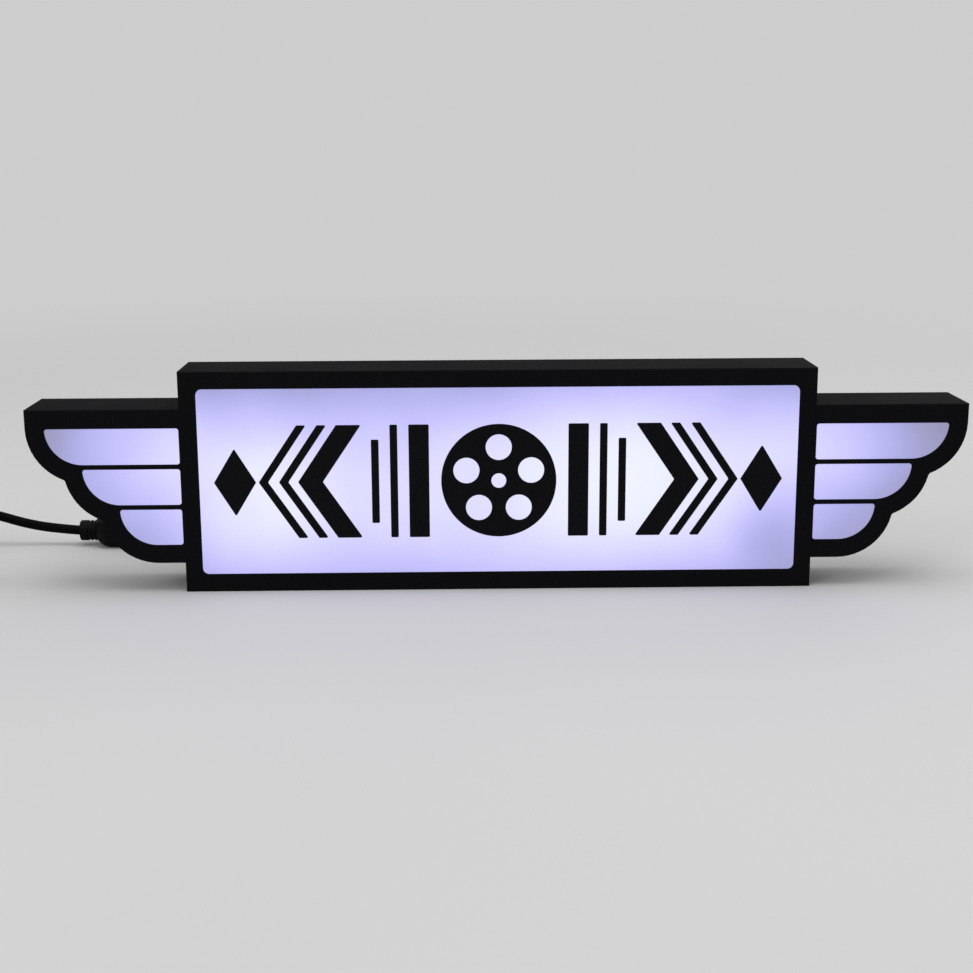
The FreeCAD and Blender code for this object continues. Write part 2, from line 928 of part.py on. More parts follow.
def switch_rocker():
    """A see-saw key with round ends about its pivot, a shallow valley on top and a cam below."""
    end = math.sqrt(rocker_radius**2 - rocker_top**2)
    foot = math.sqrt(rocker_radius**2 - rocker_floor**2)
    shoulder = rocker_cam_rise - rocker_cam
    edges = [
        line(at(-foot, 0, -rocker_floor), at(-rocker_cam_half, 0, -rocker_floor)),
        line(at(-rocker_cam_half, 0, -rocker_floor), at(-rocker_cam_half, 0, shoulder)),
        arc(
            at(-rocker_cam_half, 0, shoulder),
            at(0, 0, -rocker_cam),
            at(rocker_cam_half, 0, shoulder),
        ),
        line(at(rocker_cam_half, 0, shoulder), at(rocker_cam_half, 0, -rocker_floor)),
        line(at(rocker_cam_half, 0, -rocker_floor), at(foot, 0, -rocker_floor)),
        arc(at(foot, 0, -rocker_floor), at(rocker_radius, 0, 0), at(end, 0, rocker_top)),
        line(at(end, 0, rocker_top), at(0, 0, rocker_valley)),
        line(at(0, 0, rocker_valley), at(-end, 0, rocker_top)),
        arc(at(-end, 0, rocker_top), at(-rocker_radius, 0, 0), at(-foot, 0, -rocker_floor)),
    ]
    key = plate(edges, -rocker_width / 2, rocker_width / 2)
    reach = rocker_width / 2 + ear_thickness
    axle = Part.makeCylinder(pivot_radius, 2 * reach, at(0, -reach, 0), at(0, 1, 0))
    key = key.fuse(axle).removeSplitter()
    key.rotate(at(0, 0, 0), at(0, 1, 0), rocker_tilt)
    key.translate(at(switch_x, lane_y, pivot_z))
    return key


def switch_relief(side):
    """A ridged boot whose neck and flange are held between the case's halves."""
    bore = cord_radius + cord_bore_gap
    points = ridged(relief_length, bore)
    seated = relief_length + relief_seat
    inner = relief_length + switch_end_wall
    points += [
        (seated, relief_radius),
        (seated, relief_neck_radius),
        (inner, relief_neck_radius),
        (inner, relief_flange_radius),
        (inner + relief_flange, relief_flange_radius),
        (inner + relief_flange, bore),
    ]
    tip = switch_x + side * (switch_length / 2 + relief_length)
    return turned(points, at(tip, lane_y, switch_axis), at(-side, 0, 0))


def switch_cord_ends():
    """The lead's two ends, through the boots and just into the case."""
    length = relief_length + switch_end_wall + relief_flange + cord_end
    made = []
    for side in (-1, 1):
        tip = switch_x + side * (switch_length / 2 + relief_length)
        made.append(
            Part.makeCylinder(cord_radius, length, at(tip, lane_y, switch_axis), at(-side, 0, 0))
        )
    return made


def switch_contacts():
    """Two fixed brass terminals standing on the base."""
    half = contact_width / 2
    made = []
    for side in (-1, 1):
        a = switch_x + side * contact_reach
        b = switch_x + side * (contact_reach - contact_length)
        x_low = min(a, b)
        foot = block(
            x_low,
            x_low + contact_length,
            lane_y - half,
            lane_y + half,
            switch_wall,
            switch_wall + contact_thickness,
        )
        wall_x = a - side * contact_thickness
        upright_part = block(
            min(a, wall_x),
            max(a, wall_x),
            lane_y - half,
            lane_y + half,
            switch_wall,
            switch_wall + contact_height,
        )
        top = block(
            x_low,
            x_low + contact_length,
            lane_y - half,
            lane_y + half,
            switch_wall + contact_height - contact_thickness,
            switch_wall + contact_height,
        )
        made.append(foot.fuse([upright_part, top]).removeSplitter())
    return made


def switch_leaf():
    """The spring leaf that the rocker's cam presses onto the second terminal."""
    low = switch_wall + contact_height
    high = low + leaf_rise
    tip = contact_reach - contact_length / 2 + leaf_foot
    bend = tip - 2 * leaf_foot
    lower = [(-tip, low), (-bend, low), (0, high), (bend, low), (tip, low)]
    upper = [(x, z + leaf_thickness) for x, z in reversed(lower)]
    leaf = polygon(lower + upper, -leaf_width / 2, leaf_width / 2)
    leaf.translate(at(switch_x, lane_y, 0))
    return leaf


# ---- Coil, strap and plug ----
def cord_coil():
    """The wound spare length as one ring of the bundle's outer size, its edges bevelled."""
    inner = coil_turn_inner - cord_radius
    outer = coil_turn_outer + cord_radius
    high = coil_top_turn + cord_radius
    bevel = coil_bevel
    profile = [
        (inner + bevel, coil_lift),
        (outer - bevel, coil_lift),
        (outer, coil_lift + bevel),
        (outer, high - bevel),
        (outer - bevel, high),
        (inner + bevel, high),
        (inner, high - bevel),
        (inner, coil_lift + bevel),
    ]
    return turned([(z, r) for r, z in profile], at(coil_x, coil_y, 0), at(0, 0, 1))


def coil_strap():
    """A hook-and-loop strap closed round the bundle, its free end lapped over the outside."""
    half = strap_width / 2
    hollow = math.sqrt((coil_turn_inner - cord_radius) ** 2 - half**2)
    inner = coil_x + hollow - strap_gap
    outer = coil_x + coil_turn_outer + cord_radius + strap_gap
    low = coil_lift - strap_gap
    high = coil_top_turn + cord_radius + strap_gap
    t = strap_thickness
    around = block(inner - t, outer + t, coil_y - half, coil_y + half, low - t, high + t)
    around = rounded(around, strap_corner + t, at(0, 1, 0))
    hole = block(inner, outer, coil_y - half, coil_y + half, low, high)
    hole = rounded(hole, strap_corner, at(0, 1, 0))
    tab_high = high - strap_corner
    tab = block(outer + t, outer + 2 * t, coil_y - half, coil_y + half, tab_high - strap_tab, tab_high)
    return around.cut(hole).fuse(tab).removeSplitter()


def plug_body():
    """The moulded grip of the plug, dented for finger and thumb, with its tapered boot."""
    start = plug_x + plug_boot_length
    grip = block(
        start,
        start + plug_length,
        plug_y - plug_width / 2,
        plug_y + plug_width / 2,
        plug_z - plug_height / 2,
        plug_z + plug_height / 2,
    )
    grip = rounded(grip, plug_corner, at(1, 0, 0))
    ends = [e for e in grip.Edges if e.BoundBox.XLength < 1e-6 and e.CenterOfMass.x < start + 1]
    grip = grip.makeFillet(plug_edge, ends)
    middle = start + plug_length / 2
    for z in (plug_z - plug_height / 2, plug_z + plug_height / 2):
        dent = block(
            middle - grip_dent_length / 2,
            middle + grip_dent_length / 2,
            plug_y - grip_dent_width / 2,
            plug_y + grip_dent_width / 2,
            z - grip_dent,
            z + grip_dent,
        )
        grip = grip.cut(rounded(dent, grip_dent_corner, at(0, 0, 1)))
    boot_end = plug_height / 2 - plug_edge
    foot = at(plug_x, plug_y, plug_z)
    boot = Part.makeCone(plug_boot_radius, boot_end, plug_boot_length, foot, at(1, 0, 0))
    width = plug_groove_pitch / 3
    for i in range(1, plug_boot_grooves + 1):
        x = i * plug_groove_pitch
        kept = plug_boot_radius + x / plug_boot_length * (boot_end - plug_boot_radius)
        place = foot + at(x, 0, 0)
        ring = Part.makeCylinder(plug_height, width, place, at(1, 0, 0))
        core = Part.makeCylinder(kept - relief_groove, width, place, at(1, 0, 0))
        boot = boot.cut(ring.cut(core))
    return grip.fuse(boot).removeSplitter()


def plug_shell():
    """The plug's folded steel sleeve, with two latch windows in its top and two below."""
    start = plug_x + plug_boot_length + plug_length
    half_wide = shell_width / 2
    half_high = shell_height / 2
    outer = block(
        start,
        start + shell_length,
        plug_y - half_wide,
        plug_y + half_wide,
        plug_z - half_high,
        plug_z + half_high,
    )
    outer = rounded(outer, shell_corner, at(1, 0, 0))
    inner = block(
        start,
        start + shell_length,
        plug_y - half_wide + shell_wall,
        plug_y + half_wide - shell_wall,
        plug_z - half_high + shell_wall,
        plug_z + half_high - shell_wall,
    )
    slots = [
        block(
            start + shell_slot_x,
            start + shell_slot_x + shell_slot,
            plug_y + side * shell_slot_y - shell_slot / 2,
            plug_y + side * shell_slot_y + shell_slot / 2,
            plug_z - shell_height,
            plug_z + shell_height,
        )
        for side in (-1, 1)
    ]
    return outer.cut([inner] + slots)


def plug_tongue():
    start = plug_x + plug_boot_length + plug_length
    half = shell_width / 2 - shell_wall - tongue_gap
    low = plug_z - shell_height / 2 + shell_wall
    end = start + shell_length - tongue_setback
    return block(start, end, plug_y - half, plug_y + half, low, low + tongue_thickness)


def plug_contacts():
    start = plug_x + plug_boot_length + plug_length
    low = plug_z - shell_height / 2 + shell_wall + tongue_thickness
    x_high = start + shell_length - 2 * tongue_setback
    first = plug_y - (contact_strips - 1) * contact_pitch / 2
    half = contact_strip_width / 2
    return [
        block(
            x_high - contact_strip_length, x_high, y - half, y + half, low, low + contact_strip_thickness
        )
        for y in [first + i * contact_pitch for i in range(contact_strips)]
    ]


# ---- Every node ----
upper_strip = window_middle + strip_half_pitch
lower_strip = window_middle - strip_half_pitch
right_lens = wing_lens()

save("casing", casing())
save("rear_cover", rear_cover())
save("cover_screws", *[cover_screw(x, z) for x, z in screw_places()])
save("centre_lens", centre_lens())
save("wing_lens_right", right_lens)
save("wing_lens_left", mirrored(right_lens))
save("inlay_reel", reel(0))
for name, shapes in [("bars", bars(0)), ("chevrons", chevrons(0)), ("lozenge", lozenge(0))]:
    save(f"inlay_{name}_right", *shapes)
    save(f"inlay_{name}_left", *[mirrored(s) for s in shapes])
save("led_strip_upper", led_strip(upper_strip))
save("led_strip_lower", led_strip(lower_strip))
save("led_chips", *(led_chips(upper_strip) + led_chips(lower_strip)))
save("strip_jumpers", *strip_jumpers())
save("supply_wires", *supply_wires())
save("cord_gland", cord_gland())
save("cord_inner", cord_inner())
save("cord_tie", cord_tie())
save("cord_to_switch", tube("cord_to_switch", route_to_switch, cord_radius))
save("switch_base", switch_base())
save("switch_lid", switch_lid())
save("switch_screws", *switch_screws())
save("switch_rocker", switch_rocker())
save("switch_relief_right", switch_relief(1))
save("switch_relief_left", switch_relief(-1))
save("switch_cord_ends", *switch_cord_ends())
save("switch_contacts", *switch_contacts())
save("switch_leaf", switch_leaf())
save("cord_to_coil", tube("cord_to_coil", route_to_coil, cord_radius))
save("cord_coil", cord_coil())
save("coil_strap", coil_strap())
save("cord_to_plug", tube("cord_to_plug", route_to_plug, cord_radius))
save("plug_body", plug_body())
save("plug_shell", plug_shell())
save("plug_tongue", plug_tongue())
save("plug_contacts", *plug_contacts())
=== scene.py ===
import bmesh
import bpy
import math
from mathutils import Matrix, Vector


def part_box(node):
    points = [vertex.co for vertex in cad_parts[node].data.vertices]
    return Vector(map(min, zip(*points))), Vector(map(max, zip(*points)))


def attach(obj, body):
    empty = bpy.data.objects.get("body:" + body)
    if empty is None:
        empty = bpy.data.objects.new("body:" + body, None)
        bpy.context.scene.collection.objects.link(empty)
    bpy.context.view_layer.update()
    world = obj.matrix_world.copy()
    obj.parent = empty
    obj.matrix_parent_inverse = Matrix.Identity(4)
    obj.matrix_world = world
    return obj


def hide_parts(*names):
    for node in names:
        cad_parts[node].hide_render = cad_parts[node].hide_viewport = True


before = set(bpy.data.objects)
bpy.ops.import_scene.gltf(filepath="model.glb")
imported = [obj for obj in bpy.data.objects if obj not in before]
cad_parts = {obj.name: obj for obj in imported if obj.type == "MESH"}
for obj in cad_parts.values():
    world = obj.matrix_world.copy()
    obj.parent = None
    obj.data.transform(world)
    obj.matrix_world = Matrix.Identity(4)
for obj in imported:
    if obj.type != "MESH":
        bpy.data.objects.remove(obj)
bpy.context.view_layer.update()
workshop = bpy.context.scene.collection


# ---- Shell ----
# The box and both wings are one black injection moulding, open at the back. Its outside is spark
# eroded to a fine matt grain, and its edges are barely broken.
weld_reach = 2e-6
sharp_edge = math.radians(35)


def add(tree, kind, inputs=None, **settings):
    """Adds a shader or geometry node, sets it, and fills or links its inputs."""
    made = tree.nodes.new(kind)
    for key, value in settings.items():
        setattr(made, key, value)
    for key, value in (inputs or {}).items():
        if isinstance(value, bpy.types.NodeSocket):
            tree.links.new(value, made.inputs[key])
        else:
            made.inputs[key].default_value = value
    return made


def new_finish(name):
    """A node material: itself, its tree, its shader, and the place that patterns read."""
    finish = bpy.data.materials.new(name)
    finish.use_nodes = True
    tree = finish.node_tree
    place = add(tree, "ShaderNodeTexCoord").outputs["Object"]
    return finish, tree, tree.nodes["Principled BSDF"], place


def maths(tree, operation, *values):
    """One operation on values, or on what other nodes give."""
    return add(tree, "ShaderNodeMath", dict(enumerate(values)), operation=operation).outputs[0]


def noise(tree, place, scale, detail=3.0):
    """Soft random clouds or specks, about as many to the metre as the scale says."""
    return add(
        tree, "ShaderNodeTexNoise", {"Vector": place, "Scale": scale, "Detail": detail}
    ).outputs["Fac"]


def ranged(tree, value, low, high, start=0.3, end=0.7):
    """A value from start to end, stretched over low to high."""
    return add(
        tree,
        "ShaderNodeMapRange",
        {"Value": value, "From Min": start, "From Max": end, "To Min": low, "To Max": high},
    ).outputs["Result"]


def blend(tree, amount, dark, pale):
    """One colour at 0 and another at 1."""
    sides = [s if isinstance(s, bpy.types.NodeSocket) else (*s, 1.0) for s in (dark, pale)]
    return add(
        tree, "ShaderNodeMix", {0: amount, 6: sides[0], 7: sides[1]}, data_type="RGBA"
    ).outputs[2]


def pitted(tree, shader, height, strength, depth):
    """Raises the shader's surface by a height pattern."""
    relief = add(
        tree, "ShaderNodeBump", {"Height": height, "Strength": strength, "Distance": depth}
    )
    tree.links.new(relief.outputs["Normal"], shader.inputs["Normal"])


def rubbed_and_sheen_edges(tree, place, reach):
    """1 in patches along a sharp edge, where hands and tables rub it, and 0 on the flats. On the
    plastics the same mask also paints a pale edge sheen.
    """
    soft = add(tree, "ShaderNodeBevel", {"Radius": reach}, samples=6)
    true = add(tree, "ShaderNodeNewGeometry")
    facing = add(
        tree,
        "ShaderNodeVectorMath",
        {0: soft.outputs["Normal"], 1: true.outputs["Normal"]},
        operation="DOT_PRODUCT",
    )
    edge = ranged(tree, facing.outputs["Value"], low=0.0, high=1.0, start=0.99, end=0.8)
    handled = noise(tree, place, scale=90.0, detail=5.0)
    patches = ranged(tree, handled, low=0.0, high=1.0, start=0.4, end=0.62)
    return maths(tree, "MULTIPLY", edge, patches)


def moulded(name, colour, grain, roughness, shine):
    """Moulded plastic: eroded grain, faint flow marks, and edges a little paler, partly rubbed
    wear and partly a painted sheen.
    """
    finish, tree, shader, place = new_finish(name)
    dark = [0.5 * c for c in colour]
    pale = [1.5 * c for c in colour]
    # Paler along the edges: partly rubbed wear, partly a painted edge sheen.
    rubbed_and_sheen = [2.2 * c + 0.008 for c in colour]
    flow = noise(tree, place, scale=26.0, detail=4.0)
    pits = noise(tree, place, grain, detail=2.0)
    sparkle = ranged(tree, pits, low=0.0, high=0.7, start=0.33, end=0.67)
    tone = maths(tree, "MULTIPLY_ADD", flow, 0.3, sparkle)
    # The mask of the pale edges, for the wear and the painted sheen alike.
    edge_patches = rubbed_and_sheen_edges(tree, place, reach=0.0005)
    shown = blend(tree, edge_patches, blend(tree, tone, dark, pale), rubbed_and_sheen)
    tree.links.new(shown, shader.inputs["Base Color"])
    gloss = ranged(tree, flow, low=roughness - 0.06, high=roughness + 0.07)
    tree.links.new(gloss, shader.inputs["Roughness"])
    pitted(tree, shader, pits, strength=0.7, depth=0.0001)
    shader.inputs["Specular IOR Level"].default_value = shine
    return finish


def skin_of(cad_node, name, edge, finish, flatter_than=0.6):
    """A node's surface as one closed skin, its flats whole and its sharp edges eased."""
    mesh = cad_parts[cad_node].data.copy()
    mesh.name = name
    mesh.materials.clear()
    mesh.materials.append(finish)
    shape = bmesh.new()
    shape.from_mesh(mesh)
    bmesh.ops.remove_doubles(shape, verts=shape.verts, dist=weld_reach)
    bmesh.ops.dissolve_limit(
        shape, angle_limit=math.radians(flatter_than), verts=shape.verts, edges=shape.edges
    )
    for face in shape.faces:
        face.smooth = True
    shape.to_mesh(mesh)
    shape.free()
    piece = bpy.data.objects.new(name, mesh)
    workshop.objects.link(piece)
    eased = piece.modifiers.new("eased edges", "BEVEL")
    eased.width = edge
    eased.segments = 2
    eased.limit_method = "ANGLE"
    eased.angle_limit = sharp_edge
    piece.modifiers.new("even shading", "WEIGHTED_NORMAL")
    return piece


shell_black = moulded(
    "shell black", (0.0052, 0.0051, 0.0062), grain=2400.0, roughness=0.7, shine=0.015
)
shell = skin_of("casing", "shell", edge=0.00012, finish=shell_black)
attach(shell, "box")
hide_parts("casing")


# ---- Lenses ----
# Three opal acrylic sheets stand in the windows from behind, flush with the face: one in the box
# and one in each wing. The strips light them unevenly, in wide soft pools, palest in the middle
# of the box and more violet to the corners and out to the feathers' tips.
dimmest = 0.062
cloudiness = 0.028
pool_depth = 9.0
# Each pool of light: its strength, its middle (x, z), and its reach sideways and upwards. It is
# far deeper than the sheets, so that it is the same right through them.
pools = (
    (0.644, (-0.0067, 0.0346), (0.2282, 0.0693)),
    (0.266, (0.0620, 0.0478), (0.0967, 0.0713)),
    (0.266, (-0.0889, 0.0347), (0.0499, 0.0605)),
    (0.264, (-0.1259, 0.0610), (0.0408, 0.0470)),
    (0.226, (0.1214, 0.0550), (0.0497, 0.0346)),
    # The last pool is taken away: a painted dim patch low on the right of the box.
    (-0.140, (0.0919, 0.0210), (0.0210, 0.0216)),
)
# The colour that the sheets shine with at each level of light.
glow_colours = (
    (0.05, (0.16, 0.16, 0.28)),
    (0.22, (0.25, 0.245, 0.46)),
    (0.34, (0.325, 0.32, 0.675)),
    (0.50, (0.46, 0.44, 0.875)),
    (0.66, (0.60, 0.58, 0.90)),
    (0.82, (0.73, 0.745, 0.90)),
    (0.94, (0.79, 0.82, 0.90)),
)


def lit_opal():
    """Milky acrylic that shines by the pools of light behind it, added up, faintly clouded."""
    finish, tree, shader, place = new_finish("lit opal")
    level = dimmest
    for strength, (x, z), (wide, high) in pools:
        spot = add(
            tree,
            "ShaderNodeMapping",
            {"Vector": place, "Location": (x, 0, z), "Scale": (wide, pool_depth, high)},
            vector_type="TEXTURE",
        )
        cone = add(
            tree,
            "ShaderNodeTexGradient",
            {"Vector": spot.outputs["Vector"]},
            gradient_type="SPHERICAL",
        )
        pool = add(
            tree,
            "ShaderNodeMapRange",
            {"Value": cone.outputs["Fac"], "To Max": strength},
            interpolation_type="SMOOTHERSTEP",
        )
        level = maths(tree, "ADD", pool.outputs["Result"], level)
    clouds = noise(tree, place, scale=38.0, detail=1.0)
    level = maths(tree, "ADD", level, ranged(tree, clouds, low=-cloudiness, high=cloudiness))
    tint = add(tree, "ShaderNodeValToRGB", {"Fac": level})
    stops = tint.color_ramp.elements
    stops.remove(stops[1])
    for position, colour in glow_colours:
        stop = stops.new(position)
        stop.color = (*colour, 1.0)
    stops.remove(stops[0])
    tree.links.new(tint.outputs["Color"], shader.inputs["Emission Color"])
    shader.inputs["Emission Strength"].default_value = 1.0
    milk = noise(tree, place, scale=320.0, detail=4.0)
    body = blend(tree, milk, (0.115, 0.115, 0.125), (0.135, 0.135, 0.14))
    tree.links.new(body, shader.inputs["Base Color"])
    tree.links.new(ranged(tree, milk, low=0.36, high=0.46), shader.inputs["Roughness"])
    pitted(tree, shader, noise(tree, place, scale=900.0), strength=0.1, depth=0.00002)
    shader.inputs["Specular IOR Level"].default_value = 0.3
    return finish


opal = lit_opal()
for sheet in ("centre_lens", "wing_lens_right", "wing_lens_left"):
    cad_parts[sheet].material_slots[0].material = opal


# ---- Ornament ----
# A reel, bars, chevrons and lozenges of black acrylic, laser cut and pressed into pockets in the
# middle sheet. They lie flush with it and stop its light.
inlay_black = moulded(
    "inlay black", (0.0046, 0.0046, 0.0056), grain=3000.0, roughness=0.5, shine=0.04
)
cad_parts["inlay_reel"].material_slots[0].material = inlay_black
for shape in ("bars", "chevrons", "lozenge"):
    for side in ("right", "left"):
        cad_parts[f"inlay_{shape}_{side}"].material_slots[0].material = inlay_black


# ---- Rear cover ----
# A flat black plate let into a rebate in the shell, with two keyholes to hang the box by and a
# round hole for the lead. Its outside has a coarser grain than the shell's.
# Its black is paler than the shell's: partly a charcoal plastic, partly painted light that lifts
# the shaded back.
cover_black = moulded(
    "cover black", (0.0125, 0.0125, 0.0130), grain=1100.0, roughness=0.62, shine=0.22
)
cover = skin_of("rear_cover", "cover", edge=0.0002, finish=cover_black)
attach(cover, "box")
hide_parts("rear_cover")


# ---- LED strips ----
# Two white flexible strips are stuck to the cover's inner face. Each is printed with two pairs of
# copper pads between its chips, either side of a line where it may be cut to length.
chips_per_strip = 14
led_pitch = 0.01667
first_chip = -(chips_per_strip - 1) / 2 * led_pitch
pad_from_cut = 0.0016
pad_from_spine = 0.0022
pad_half_length = 0.0011
pad_half_width = 0.0012
cut_half_width = 0.00012
strip_boxes = [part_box(strip) for strip in ("led_strip_upper", "led_strip_lower")]
strip_heights = [(low.z + high.z) / 2 for low, high in strip_boxes]


def distance(tree, value, place):
    """How far a value lies from a place, to either side."""
    return maths(tree, "ABSOLUTE", maths(tree, "SUBTRACT", value, place))


def printed_strip():
    """White varnish on copper, bare at the pads, with a thin black line at each cut."""
    finish, tree, shader, place = new_finish("printed strip")
    axes = add(tree, "ShaderNodeSeparateXYZ", {"Vector": place}).outputs
    along = maths(tree, "SUBTRACT", axes["X"], first_chip)
    between = maths(tree, "PINGPONG", along, led_pitch / 2)
    from_cut = maths(tree, "SUBTRACT", led_pitch / 2, between)
    from_middle = distance(tree, axes["Z"], sum(strip_heights) / 2)
    from_spine = distance(tree, from_middle, abs(strip_heights[0] - strip_heights[1]) / 2)
    off_pad = distance(tree, from_cut, pad_from_cut)
    off_row = distance(tree, from_spine, pad_from_spine)
    in_length = maths(tree, "LESS_THAN", off_pad, pad_half_length)
    in_width = maths(tree, "LESS_THAN", off_row, pad_half_width)
    pad = maths(tree, "MULTIPLY", in_length, in_width)
    cut_line = maths(tree, "LESS_THAN", from_cut, cut_half_width)
    fine = noise(tree, place, scale=600.0, detail=4.0)
    board = blend(tree, fine, (0.70, 0.70, 0.66), (0.80, 0.80, 0.76))
    lined = blend(tree, cut_line, board, (0.02, 0.02, 0.02))
    shown = blend(tree, pad, lined, (0.62, 0.33, 0.14))
    tree.links.new(shown, shader.inputs["Base Color"])
    tree.links.new(pad, shader.inputs["Metallic"])
    tree.links.new(ranged(tree, fine, low=0.38, high=0.55), shader.inputs["Roughness"])
    raised = maths(tree, "MULTIPLY_ADD", fine, 0.3, pad)
    pitted(tree, shader, raised, strength=0.3, depth=0.00004)
    return finish


strip_white = printed_strip()
for strip in ("led_strip_upper", "led_strip_lower"):
    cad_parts[strip].material_slots[0].material = strip_white


# ---- LED chips ----
# Twenty-eight white chips, 5 mm square, are soldered to the strips. Each is a pale resin frame
# with a round well of yellow phosphor, which shines white.
chip_size = 0.005
chip_height = 0.0016
well_radius = 0.0020
well_depth = 0.0003
phosphor_gap = 0.00003
phosphor_thickness = 0.00018


def speckled(name, colour, roughness, speckle, scale=420.0):
    """A small moulded or painted part: fine specks and a slightly uneven gloss."""
    finish, tree, shader, place = new_finish(name)
    specks = noise(tree, place, scale, detail=4.0)
    dark = [c * (1 - speckle) for c in colour]
    pale = [min(1.0, c * (1 + speckle)) for c in colour]
    tree.links.new(blend(tree, specks, dark, pale), shader.inputs["Base Color"])
    gloss = ranged(tree, specks, low=roughness - 0.06, high=roughness + 0.06)
    tree.links.new(gloss, shader.inputs["Roughness"])
    pitted(tree, shader, specks, strength=0.15, depth=0.00003)
    return finish, shader


def new_tree(name, **kinds):
    """An empty geometry tree with named inputs, and what it is given."""
    tree = bpy.data.node_groups.new(name, "GeometryNodeTree")
    sockets = tree.interface
    sockets.new_socket("Geometry", in_out="OUTPUT", socket_type="NodeSocketGeometry")
    sockets.new_socket("Geometry", in_out="INPUT", socket_type="NodeSocketGeometry")
    for label, kind in kinds.items():
        named = label.replace("_", " ").capitalize()
        sockets.new_socket(named, in_out="INPUT", socket_type=f"NodeSocket{kind}")
    return tree, add(tree, "NodeGroupInput").outputs


def triple(tree, x=0.0, y=0.0, z=0.0):
    """Three values as one vector."""
    return add(tree, "ShaderNodeCombineXYZ", {"X": x, "Y": y, "Z": z}).outputs["Vector"]


def finished(tree, geometry, material):
    """Ends a tree: its instances made real and given their material."""
    real = add(tree, "GeometryNodeRealizeInstances", {"Geometry": geometry})
    coated = add(
        tree,
        "GeometryNodeSetMaterial",
        {"Geometry": real.outputs["Geometry"], "Material": material},
    )
    result = add(tree, "NodeGroupOutput")
    tree.links.new(coated.outputs["Geometry"], result.inputs["Geometry"])


def grown(name, mesh, tree, **values):
    """A piece that a tree grows from a mesh, kept as plain mesh."""
    piece = bpy.data.objects.new(name, mesh)
    workshop.objects.link(piece)
    modifier = piece.modifiers.new(name, "NODES")
    modifier.node_group = tree
    labels = {key.replace("_", " ").capitalize(): value for key, value in values.items()}
    for socket in tree.interface.items_tree:
        if socket.in_out == "INPUT" and socket.name in labels:
            modifier[socket.identifier] = labels[socket.name]
    evaluated = piece.evaluated_get(bpy.context.evaluated_depsgraph_get())
    solid = bpy.data.meshes.new_from_object(evaluated)
    piece.modifiers.remove(modifier)
    piece.data = solid
    solid.name = name
    return piece


def points_at(name, places):
    """A mesh of loose points for a tree to set its pieces on."""
    mesh = bpy.data.meshes.new(name)
    mesh.from_pydata(places, [], [])
    return mesh


def chip_frames():
    """Square frames with a round well in their front, one at each point."""
    tree, given = new_tree(
        "chip frames", size="Float", height="Float", well="Float", depth="Float", resin="Material"
    )
    block = add(
        tree,
        "GeometryNodeMeshCube",
        {"Size": triple(tree, given["Size"], given["Height"], given["Size"])},
    )
    drill = add(
        tree,
        "GeometryNodeMeshCylinder",
        {
            "Vertices": 32,
            "Radius": given["Well"],
            "Depth": maths(tree, "MULTIPLY", given["Depth"], 2.0),
        },
    )
    front = maths(tree, "MULTIPLY", given["Height"], -0.5)
    placed = add(
        tree,
        "GeometryNodeTransform",
        {
            "Geometry": drill.outputs["Mesh"],
            "Translation": triple(tree, y=front),
            "Rotation": (math.pi / 2, 0, 0),
        },
    )
    welled = add(
        tree,
        "GeometryNodeMeshBoolean",
        {"Mesh 1": block.outputs["Mesh"], "Mesh 2": placed.outputs["Geometry"]},
        operation="DIFFERENCE",
    )
    row = add(
        tree,
        "GeometryNodeInstanceOnPoints",
        {"Points": given["Geometry"], "Instance": welled.outputs["Mesh"]},
    )
    finished(tree, row.outputs["Instances"], given["Resin"])
    return tree


def phosphor_wells():
    """Discs of phosphor that stand in the wells, one at each point."""
    tree, given = new_tree("phosphor", radius="Float", depth="Float", phosphor="Material")
    disc = add(
        tree,
        "GeometryNodeMeshCylinder",
        {"Vertices": 32, "Radius": given["Radius"], "Depth": given["Depth"]},
    )
    turned = add(
        tree,
        "GeometryNodeTransform",
        {"Geometry": disc.outputs["Mesh"], "Rotation": (math.pi / 2, 0, 0)},
    )
    row = add(
        tree,
        "GeometryNodeInstanceOnPoints",
        {"Points": given["Geometry"], "Instance": turned.outputs["Geometry"]},
    )
    finished(tree, row.outputs["Instances"], given["Phosphor"])
    return tree


chip_resin, _ = speckled("chip resin", (0.72, 0.71, 0.66), roughness=0.3, speckle=0.05)
phosphor, phosphor_shader = speckled(
    "phosphor", (0.80, 0.72, 0.30), roughness=0.25, speckle=0.08, scale=3000.0
)
phosphor_shader.inputs["Emission Color"].default_value = (0.93, 0.92, 1.0, 1.0)
phosphor_shader.inputs["Emission Strength"].default_value = 1.0
chips_low, chips_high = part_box("led_chips")
chip_rows = (chips_low.z + chip_size / 2, chips_high.z - chip_size / 2)
chip_middle = (chips_low.y + chips_high.y) / 2
chip_places = [
    (first_chip + i * led_pitch, chip_middle, z)
    for z in chip_rows
    for i in range(chips_per_strip)
]
phosphor_middle = chips_low.y + well_depth - phosphor_gap - phosphor_thickness / 2
well_places = [(x, phosphor_middle, z) for x, _, z in chip_places]
chips = grown(
    "chips",
    points_at("chips", chip_places),
    chip_frames(),
    size=chip_size,
    height=chip_height,
    well=well_radius,
    depth=well_depth,
    resin=chip_resin,
)
wells = grown(
    "wells",
    points_at("wells", well_places),
    phosphor_wells(),
    radius=well_radius - phosphor_gap,
    depth=phosphor_thickness,
    phosphor=phosphor,
)
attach(chips, "box")
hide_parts("led_chips")
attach(wells, "box")


# ---- Wires ----
# Two pairs of thin PVC-covered wires: one brings the supply up from the lead, the other joins
# the strips at the left. In each pair one wire is red and the other black.
supply_middle = -0.028
pair_half_width = 0.00145
jumper_bend = 0.0027
parting_blur = 0.0001


def right_of_middle(tree, place):
    """How far right of the supply pair's middle a point is."""
    axes = add(tree, "ShaderNodeSeparateXYZ", {"Vector": place}).outputs
    return maths(tree, "SUBTRACT", axes["X"], supply_middle)


